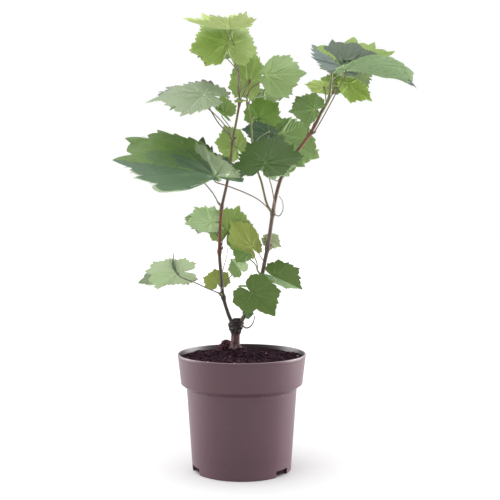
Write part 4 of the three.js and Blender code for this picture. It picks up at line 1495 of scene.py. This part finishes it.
@dataclass(frozen=True)
class Trunk:
    """The short trunk: root flare, thin shaft and a dark knobbly head, all in rough bark.

    Its bark has fissures and flakes on the shaft, lumps and fine knobs on the head. Each of
    these is given by its width round the trunk, its run up it, a shift and its depth.
    """

    foot: Point = (-8.6, 13, 155.5)
    top: Point = (-5.6, 11, 199)
    profile: tuple[Pair, ...] = (
        (0, 11), (0.07, 8.2), (0.14, 6.6), (0.22, 5.8), (0.34, 5.4), (0.48, 5.3),
        (0.56, 6.2), (0.67, 7.1), (0.8, 7), (0.9, 6.1), (0.97, 4.6), (1, 4),
    )
    knob_count: int = 9
    shred_count: int = 26
    sides: int = 96
    levels: int = 130
    finish: BarkFinish = BarkFinish(
        "trunk_bark",
        ((0.0, 0x301618), (0.15, 0x422224), (0.4, 0x522D2E), (0.58, 0x2A1D20),
         (0.85, 0x1F1618), (1.0, 0x2E2224)),
        0.1555, 0.199, fibre=0x6C4548, depth=0.0012,
    )

    SEED = 11
    SOFTENING = (-0.02, -0.01, 0, 0.01, 0.02)
    RIDGES, RIDGE_DEPTH, RIDGE_TURN = 4, 1.5, 0.7
    FLARE_TOP, HEAD_FOOT, HEAD_FULL = 0.26, 0.5, 0.62
    BOW, BOW_TOP = 1.3, 0.9
    KNOB_PLACE, KNOB_SIZE = (0.6, 0.94), (0.5, 1)
    KNOB_DEPTH, KNOB_NARROWNESS, KNOB_HEIGHT = 1.7, 3, 0.12
    SHAFT_BARK = ((4.2, 0.07, 0, 1.1), (9, 0.32, 7, 0.5))
    HEAD_BARK = ((2.6, 0.42, 3, 2.1), (7, 1.1, 0, 1.1), (9, 0.32, 7, 0.5))
    SHRED_FOOT, SHRED_LENGTH, SHRED_LIFT = (0.12, 0.7), (0.08, 0.22), (0.05, 0.45)
    SHRED_TURN, SHRED_GIRTH = (-0.15, 0.15), (0.3, 0.6)
    SHRED_STEPS, SHRED_SIDES, SHRED_BELLY = 7, 5, (0.12, 0.92)

    def centres(self, shares: Array) -> Array:
        """Gives the bowed centre line's places by share of the height.

        Args:
            shares: the shares asked for.

        Returns:
            The places in millimetres.
        """
        foot, top = np.array(self.foot), np.array(self.top)
        line = foot + (top - foot) * shares[:, None]
        line[:, 0] -= self.BOW * np.sin(np.pi * np.minimum(shares / self.BOW_TOP, 1))
        return line

    def girth(self, shares: Array) -> Array:
        """Gives the bare radius by share of the height, in millimetres."""
        return np.interp(shares, *zip(*self.profile))

    def build(self) -> None:
        """Builds the trunk."""
        surface = Surface("trunk_wood")
        random = Seeded(self.SEED)
        knobs = [
            (random() * 2 * math.pi, random.between(*self.KNOB_PLACE), random.between(*self.KNOB_SIZE))
            for _ in range(self.knob_count)
        ]
        shares = np.linspace(0, 1, self.levels)
        soft = [self.girth(np.clip(shares + shift, 0, 1)) for shift in self.SOFTENING]
        angles = circle(self.sides)
        rings = []
        for share, radius, centre in zip(shares, np.mean(soft, axis=0), self.centres(shares)):
            flare = 1 - float(smooth(0, self.FLARE_TOP, share))
            ridge = self.RIDGE_DEPTH * flare * np.cos(self.RIDGES * angles + self.RIDGE_TURN)
            knob = sum(
                size * np.exp(self.KNOB_NARROWNESS * (np.cos(angles - at) - 1))
                * bell((share - rise) / self.KNOB_HEIGHT)
                for at, rise, size in knobs
            )
            bark = [self.roughness(angle, share) for angle in angles]
            reach = radius + ridge + self.KNOB_DEPTH * knob + bark
            rings.append(centre + ring(angles, reach, 0))
        surface.rings(np.array(rings), self.finish)
        for _ in range(self.shred_count):
            self.shred(surface, random)
        surface.build("bark", ("trunk",), angle=75)

    def roughness(self, angle: float, share: float) -> float:
        """Gives the bark's relief at one place.

        Args:
            angle: the way round, in radians.
            share: the share of the height.

        Returns:
            How far the bark stands out, in millimetres.
        """
        head = float(smooth(self.HEAD_FOOT, self.HEAD_FULL, share))
        up = share * (self.top[2] - self.foot[2])
        shaft, knobbly = (
            sum(depth * noise_round(angle, width, up * run + shift)
                for width, run, shift, depth in bark)
            for bark in (self.SHAFT_BARK, self.HEAD_BARK)
        )
        return shaft * (1 - head) + knobbly * head

    def shred(self, surface: Surface, random: Seeded) -> None:
        """Adds a thin shred of bark that lies along the shaft or the head's underside.

        Args:
            surface: the piece that takes it.
            random: the trunk's stream.
        """
        steps = np.linspace(0, 1, self.SHRED_STEPS)
        angle = random() * 2 * math.pi
        low = random.between(*self.SHRED_FOOT)
        shares = low + random.between(*self.SHRED_LENGTH) * steps
        reach = self.girth(shares) + random.between(*self.SHRED_LIFT) * steps**2
        turn = angle + random.between(*self.SHRED_TURN) * steps
        line = self.centres(shares) + ring(turn, reach, 0)
        belly = np.sin(np.pi * np.linspace(*self.SHRED_BELLY, self.SHRED_STEPS))
        girth = random.between(*self.SHRED_GIRTH) * belly
        surface.rings(tube(Path(line), steps, girth, self.SHRED_SIDES), self.finish)


@dataclass(frozen=True)
class Soil:
    """Crumbly compost that fills the pot and is heaped round the trunk, with chips beside it."""

    level: float = 147.8
    trunk: Pair = (-8.6, 13)
    mound: float = 12.5
    mound_spread: float = 26
    wall: tuple[Pair, ...] = ((2.9, 63.1), (110.3, 70.7), (116, 78.2))
    edge: float = 81.7
    segments: int = 200
    rows: int = 70
    crumbs: int = 2600
    strewn: float = 80.5
    chips: int = 420
    heap: Pair = (-22.5, 25)
    heap_spread: float = 11.5
    heap_height: float = 11

    SEED = 77
    BUMPS = ((0.05, 1, 1.6), (0.22, 5, 1.2), (0.7, 9, 0.5))
    CRUMBS = (
        SoilFinish("crumb_dark", 0x150912, 0x24121C), SoilFinish("crumb_brown", 0x23121A, 0x3A1E26),
        SoilFinish("crumb_red", 0x34202A, 0x52363E), SoilFinish("crumb_pale", 0x8C7C78, 0xB9ABA4),
    )
    RIGHT_FROM, LEFT_SHARES, RIGHT_SHARES = 4, (0.42, 0.8, 0.994), (0.6, 0.93, 0.994)
    HEAP_BROWN, HEAP_CURVE = 0.35, 0.4
    CRUMB_SIZE, SIZE_CHANGE, SIZE_CURVE = 0.5, 1.6, 2.2
    CHIP_SIZE, SEAT = (1, 2.5), 0.25
    LONG_CHIP, ROUND_CRUMB = (0.7, 2.0), (0.8, 1.2)
    CHIP_SIDES, RAGGED, FLATNESS = 6, (0.7, 1.25), (0.6, 1)
    CHIP_LEVELS = ((-0.6, 0.55), (0, 1), (0.6, 0.6))

    def height(self, x: float, y: float) -> float:
        """Gives the surface's height at a place.

        Args:
            x: millimetres to the right.
            y: millimetres to the back.

        Returns:
            The height in millimetres.
        """
        away = math.hypot(x - self.trunk[0], y - self.trunk[1]) / self.mound_spread
        bumps = sum(depth * noise_at(x * fine, y * fine, at) for fine, at, depth in self.BUMPS)
        return self.level + self.mound * float(bell(away)) + bumps

    def build(self) -> None:
        """Builds the soil and the crumbs on it."""
        surface = Surface("compost")
        angles = circle(self.segments)
        rings = [ring(angles, radius, height) for height, radius in self.wall]
        for row in range(self.rows):
            places = ring(angles, self.edge * (1 - row / self.rows), 0)
            places[:, 2] = [self.height(x, y) for x, y, _ in places]
            rings.append(places)
        surface.rings(np.array(rings), SoilFinish())
        surface.build("soil", ("soil",), angle=80)
        surface = Surface("compost_crumbs")
        random = Seeded(self.SEED)
        for number in range(self.crumbs + self.chips):
            self.strew(surface, random, number >= self.crumbs)
        surface.build("soil", angle=30)

    def strew(self, surface: Surface, random: Seeded, heaped: bool) -> None:
        """Strews one crumb, bark chip or pale grain.

        Args:
            surface: the piece that takes it.
            random: the crumbs' stream.
            heaped: whether it lies in the heap of chips, or anywhere.
        """
        reach = (self.heap_spread if heaped else self.strewn) * math.sqrt(random())
        angle = random() * 2 * math.pi
        x, y = reach * math.cos(angle), reach * math.sin(angle)
        size = self.CRUMB_SIZE + self.SIZE_CHANGE * random() ** self.SIZE_CURVE
        draw = random()
        shares = self.LEFT_SHARES if x < self.RIGHT_FROM else self.RIGHT_SHARES
        pick = sum(draw >= share for share in shares)
        lift = 0.0
        if heaped:
            lift = random() ** self.HEAP_CURVE * (1 - (reach / self.heap_spread) ** 2)
            lift *= self.heap_height
            x, y = x + self.heap[0], y + self.heap[1]
            size, pick = random.between(*self.CHIP_SIZE), 1 + (draw > self.HEAP_BROWN)
        stretch = random.between(*(self.LONG_CHIP if pick in (1, 2) else self.ROUND_CRUMB))
        tilt = random() * math.pi
        centre = np.array([x, y, self.height(x, y) + size * self.SEAT + lift])
        turns = circle(self.CHIP_SIDES)
        rings = []
        for level, girth in self.CHIP_LEVELS:
            ragged = np.array([random.between(*self.RAGGED) for _ in turns]) * girth * size
            flat = ragged * (stretch * np.cos(turns) + 1j * np.sin(turns)) * cmath.rect(1, tilt)
            rise = np.full(len(turns), level * size * random.between(*self.FLATNESS))
            rings.append(centre + np.stack([flat.real, flat.imag, rise], -1))
        surface.rings(np.array(rings), self.CRUMBS[pick])


@dataclass(frozen=True)
class Pot:
    """The nursery pot: a turned wall with a rim band, rounded edges and three drain notches, with a
    painted highlight on its rim lip and painted shade on its inside.
    """

    height: float = 154
    rim: float = 85
    band_foot: Pair = (80.7, 114.7)
    shoulder: Pair = (73.2, 109)
    foot: float = 65.6
    wall: float = 2
    floor: float = 2.6
    drains: tuple[float, ...] = (53, 173, 293)
    drain_size: Point = (24, 14, 17)
    segments: int = 192

    ROUNDING_STEPS = 6
    LIP_ROW = 43
    INNER_ROW = 53
    # A lighter copy of the plastic on the rim lip: a painted highlight.
    LIP_HIGHLIGHT = PotFinish("pot_lip_painted_highlight", 0x66545A, 0x705E62)
    # A darker copy of the plastic for the inside of the pot: painted shade.
    INSIDE_SHADE = PotFinish("pot_inside_painted_shade", 0x1F1519, 0x261B1F, 0x352A2D)

    def profile(self) -> Array:
        """Goes round the wall's section, from the middle of the underside to the inner floor's.

        Returns:
            Radius and height of each point, with the corners rounded.
        """
        band_r, band_z = self.band_foot
        shoulder_r, shoulder_z = self.shoulder
        corners = (
            (0, 0.8, 0), (self.foot - 9, 0.8, 1), (self.foot - 7, 0, 1), (self.foot, 0, 1.6),
            (shoulder_r, shoulder_z, 0.8), (band_r, band_z, 0.7),
            (self.rim - 0.35, self.height - 4.2, 0.8), (self.rim, self.height - 3.4, 0.5),
            (self.rim, self.height, 0.9), (self.rim - self.wall, self.height, 0.7),
            (band_r - self.wall, band_z + 1, 2), (shoulder_r - self.wall, shoulder_z + 1, 1.5),
            (self.foot - self.wall, self.floor, 1.5), (0, self.floor, 0),
        )
        flat = [np.array(corner[:2], float) for corner in corners]
        line = [flat[0]]
        for before, here, after, (_, _, rounding) in zip(flat, flat[1:], flat[2:], corners[1:]):
            start, end = (here + unit(way - here) * rounding for way in (before, after))
            for share in np.linspace(0, 1, self.ROUNDING_STEPS):
                rest = 1 - share
                line.append(rest**2 * start + 2 * share * rest * here + share**2 * end)
        return np.array([*line, flat[-1]])

    def build(self) -> None:
        """Builds the pot and cuts its drain notches."""
        surface = Surface("pot_shell")
        outline = self.profile()[1:-1]
        surface.rings(ring(circle(self.segments), outline[:, :1], outline[:, 1:]), PotFinish())
        corners, slots = surface.faces[0]
        row = np.arange(len(corners)) // self.segments
        # The inner rows get the painted shade and the lip's rows the painted highlight.
        inside_shade, lip_highlight = surface.finish_index(self.INSIDE_SHADE), surface.finish_index(self.LIP_HIGHLIGHT)
        slots = np.where(row >= self.INNER_ROW, inside_shade, np.where(row >= self.LIP_ROW, lip_highlight, slots))
        surface.faces[0] = (corners, slots)
        pot = surface.build("pot", ("pot",), angle=30)
        for turn in self.drains:
            self.cut(pot, turn * DEGREE)

    def cut(self, pot: bpy.types.Object, angle: float) -> None:
        """Cuts one drain notch.

        Args:
            pot: the pot.
            angle: the notch's way round from the front, in radians.
        """
        half = np.array(self.drain_size) / 2
        way = np.array([math.sin(angle), -math.cos(angle), 0])
        side = np.array([math.cos(angle), math.sin(angle), 0])
        up = np.array([0, 0, 1])
        places = [
            way * (self.foot + out * half[1]) + side * x * half[0] + up * z * half[2]
            for out in (-1, 1) for x, z in ((-1, -1), (1, -1), (1, 1), (-1, 1))
        ]
        faces = [(0, 3, 2, 1), (4, 5, 6, 7)]
        faces += [(k, (k + 1) % 4, 4 + (k + 1) % 4, 4 + k) for k in range(4)]
        mesh = bpy.data.meshes.new("drain_cutter")
        mesh.from_pydata((np.array(places) * MM).tolist(), [], faces)
        cutter = add("drain_cutter", mesh)
        modifier = pot.modifiers.new("drain", "BOOLEAN")
        modifier.operation = "DIFFERENCE"
        modifier.solver = "EXACT"
        modifier.object = cutter
        graph = bpy.context.evaluated_depsgraph_get()
        cut = bpy.data.meshes.new_from_object(pot.evaluated_get(graph))
        pot.modifiers.clear()
        pot.data = cut
        bpy.data.objects.remove(cutter)


@dataclass(frozen=True)
class Twiglets:
    """Bud stalks and tendrils: the thin dark ends that show between the leaves."""

    stalks: tuple[tuple[tuple[Point, ...], float], ...] = (
        (((-1.5, 7, 489), (4, 4, 500), (9.5, 2, 510), (11.5, 1, 516)), 1.7),
        (((91, 3, 446), (96, -1, 462), (100, -3, 478), (103, -4, 486)), 1.6),
        (((105, 2, 474), (112, -2, 484), (118, -5, 494), (121, -6, 500)), 1.5),
    )
    tendrils: tuple[tuple[tuple[Point, ...], float], ...] = (
        (((1, 4, 189.5), (6, -1, 187.5), (11, -4, 189.5), (15, -4, 195), (17.2, -3, 203.5)), 1.15),
        (((-27, 2, 257), (-24, -4, 268), (-20, -6, 282), (-18, -6, 296)), 0.6),
        (((30, -1, 275), (24, -6, 284), (20, -8, 297), (22, -8, 308)), 0.6),
        (((41, -4, 339), (49, -8, 336), (54, -8, 344), (53, -6, 356), (49, -5, 362)), 0.7),
    )
    curl: tuple[Point, ...] = (
        (-83, -24, 260), (-86, -31, 268), (-87.5, -39, 278), (-86.5, -41, 289),
    )

    SIDES = 10
    STALK_RINGS, TENDRIL_RINGS, CURL_RINGS = 26, 40, 30
    STALK_RADIUS, HEAD_AT, HEAD_RUN = 0.55, 0.9, 0.09
    STALK_TIP, TIP_RUN, TIP_LEAST = 1.02, 0.06, 0.12
    TENDRIL_TAPER = 0.5
    CURL_RADIUS, CURL_TIP, CURL_CURVE = 0.6, 1.03, 0.25
    BELLY, BELLY_AT, BELLY_RUN = 1.9, 0.45, 0.34

    def build(self) -> None:
        """Builds them as one piece."""
        surface = Surface("bud_stalks_and_tendrils")
        shares = np.linspace(0, 1, self.STALK_RINGS)
        tip = np.clip((self.STALK_TIP - shares) / self.TIP_RUN, self.TIP_LEAST, 1)
        for points, head in self.stalks:
            bulb = head * bell((shares - self.HEAD_AT) / self.HEAD_RUN)
            radii = (self.STALK_RADIUS + bulb) * tip
            surface.rings(tube(Path(points), shares, radii, self.SIDES), BUD)
        shares = np.linspace(0, 1, self.TENDRIL_RINGS)
        for points, thick in self.tendrils:
            radii = thick * (1 - self.TENDRIL_TAPER * shares)
            surface.rings(tube(Path(points), shares, radii, self.SIDES), TENDRIL)
        shares = np.linspace(0, 1, self.CURL_RINGS)
        girth = self.CURL_RADIUS + self.BELLY * bell((shares - self.BELLY_AT) / self.BELLY_RUN)
        radii = girth * (self.CURL_TIP - shares) ** self.CURL_CURVE
        surface.rings(tube(Path(self.curl), shares, radii, self.SIDES), CURL)
        surface.build("shoot", angle=70)


@dataclass(frozen=True)
class Studio:
    """A pale floor in a white surround, soft lights and the camera."""

    camera_place: Point = (0.0109, -1.2, 0.342)
    camera_pitch: float = -2.44
    lens: float = 65.4
    sensor: float = 36
    reach: float = 12.0
    floor: float = 0.8
    surround: float = 1.0
    sun_way: Point = (-0.12, -0.02, 1.2)
    sun_strength: float = 2.0
    sun_spread: float = 60
    aim: Point = (0, 0, 0.35)
    edge_size: float = 1.2
    edges: tuple[tuple[str, Point, float], ...] = (
        ("left_edge", (-1.5, 0.45, 0.5), 46), ("right_edge", (1.5, 0.45, 0.5), 66),
    )

    def build(self) -> None:
        """Sets up the studio."""
        scene = bpy.context.scene
        scene.view_settings.view_transform = "Standard"
        ground = self.ground()
        scene.world = bpy.data.worlds.new("studio_world")
        scene.world.use_nodes = True
        background = scene.world.node_tree.nodes["Background"]
        background.inputs["Color"].default_value = (1, 1, 1, 1)
        background.inputs["Strength"].default_value = self.surround
        spread = self.sun_spread * DEGREE
        self.lamp("main", "SUN", self.sun_way, (0, 0, 0), energy=self.sun_strength, angle=spread)
        beside = bpy.data.collections.new("beside")
        beside.objects.link(ground)
        beside.collection_objects[0].light_linking.link_state = "EXCLUDE"
        for name, place, power in self.edges:
            lamp = self.lamp(name, "AREA", place, self.aim, energy=power, size=self.edge_size)
            lamp.light_linking.receiver_collection = beside
        data = bpy.data.cameras.new("camera")
        data.lens, data.sensor_width = self.lens, self.sensor
        scene.camera = add("camera", data)
        scene.camera.location = self.camera_place
        scene.camera.rotation_euler = ((90 + self.camera_pitch) * DEGREE, 0, 0)

    def ground(self) -> bpy.types.Object:
        """Builds the pale floor.

        Returns:
            The floor.
        """
        pale = (self.floor, self.floor, self.floor, 1)
        material = Graph("studio_floor").finish(
            Base_Color=pale, Roughness=0.95, Specular_IOR_Level=0.1
        )
        corners = np.array([(-1, -1, 0), (1, -1, 0), (1, 1, 0), (-1, 1, 0)]) * self.reach
        mesh = bpy.data.meshes.new("studio_floor")
        mesh.from_pydata(corners.tolist(), [], [(0, 1, 2, 3)])
        mesh.materials.append(material)
        return add("studio_floor", mesh)

    def lamp(
        self, name: str, kind: str, place: Point, aim: Point, **settings: float
    ) -> bpy.types.Object:
        """Adds one soft light.

        Args:
            name: its name.
            kind: the lamp's type.
            place: where it stands, in metres.
            aim: the place that it looks at.
            settings: its power and its size or angle, by Blender's names.

        Returns:
            The light.
        """
        data = bpy.data.lights.new(name, kind)
        for key, value in settings.items():
            setattr(data, key, value)
        lamp = add(name, data)
        lamp.location = place
        lamp.rotation_euler = (Vector(aim) - Vector(place)).to_track_quat("-Z", "Y").to_euler()
        return lamp


def main() -> None:
    """Builds the studio and every part of the plant."""
    logging.basicConfig(level=logging.INFO, format="%(name)s: %(message)s")
    for part in (Studio(), Pot(), Soil(), Trunk(), *LIMBS, Foliage(), Twiglets()):
        part.build()
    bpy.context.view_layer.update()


if __name__ == "__main__":
    main()
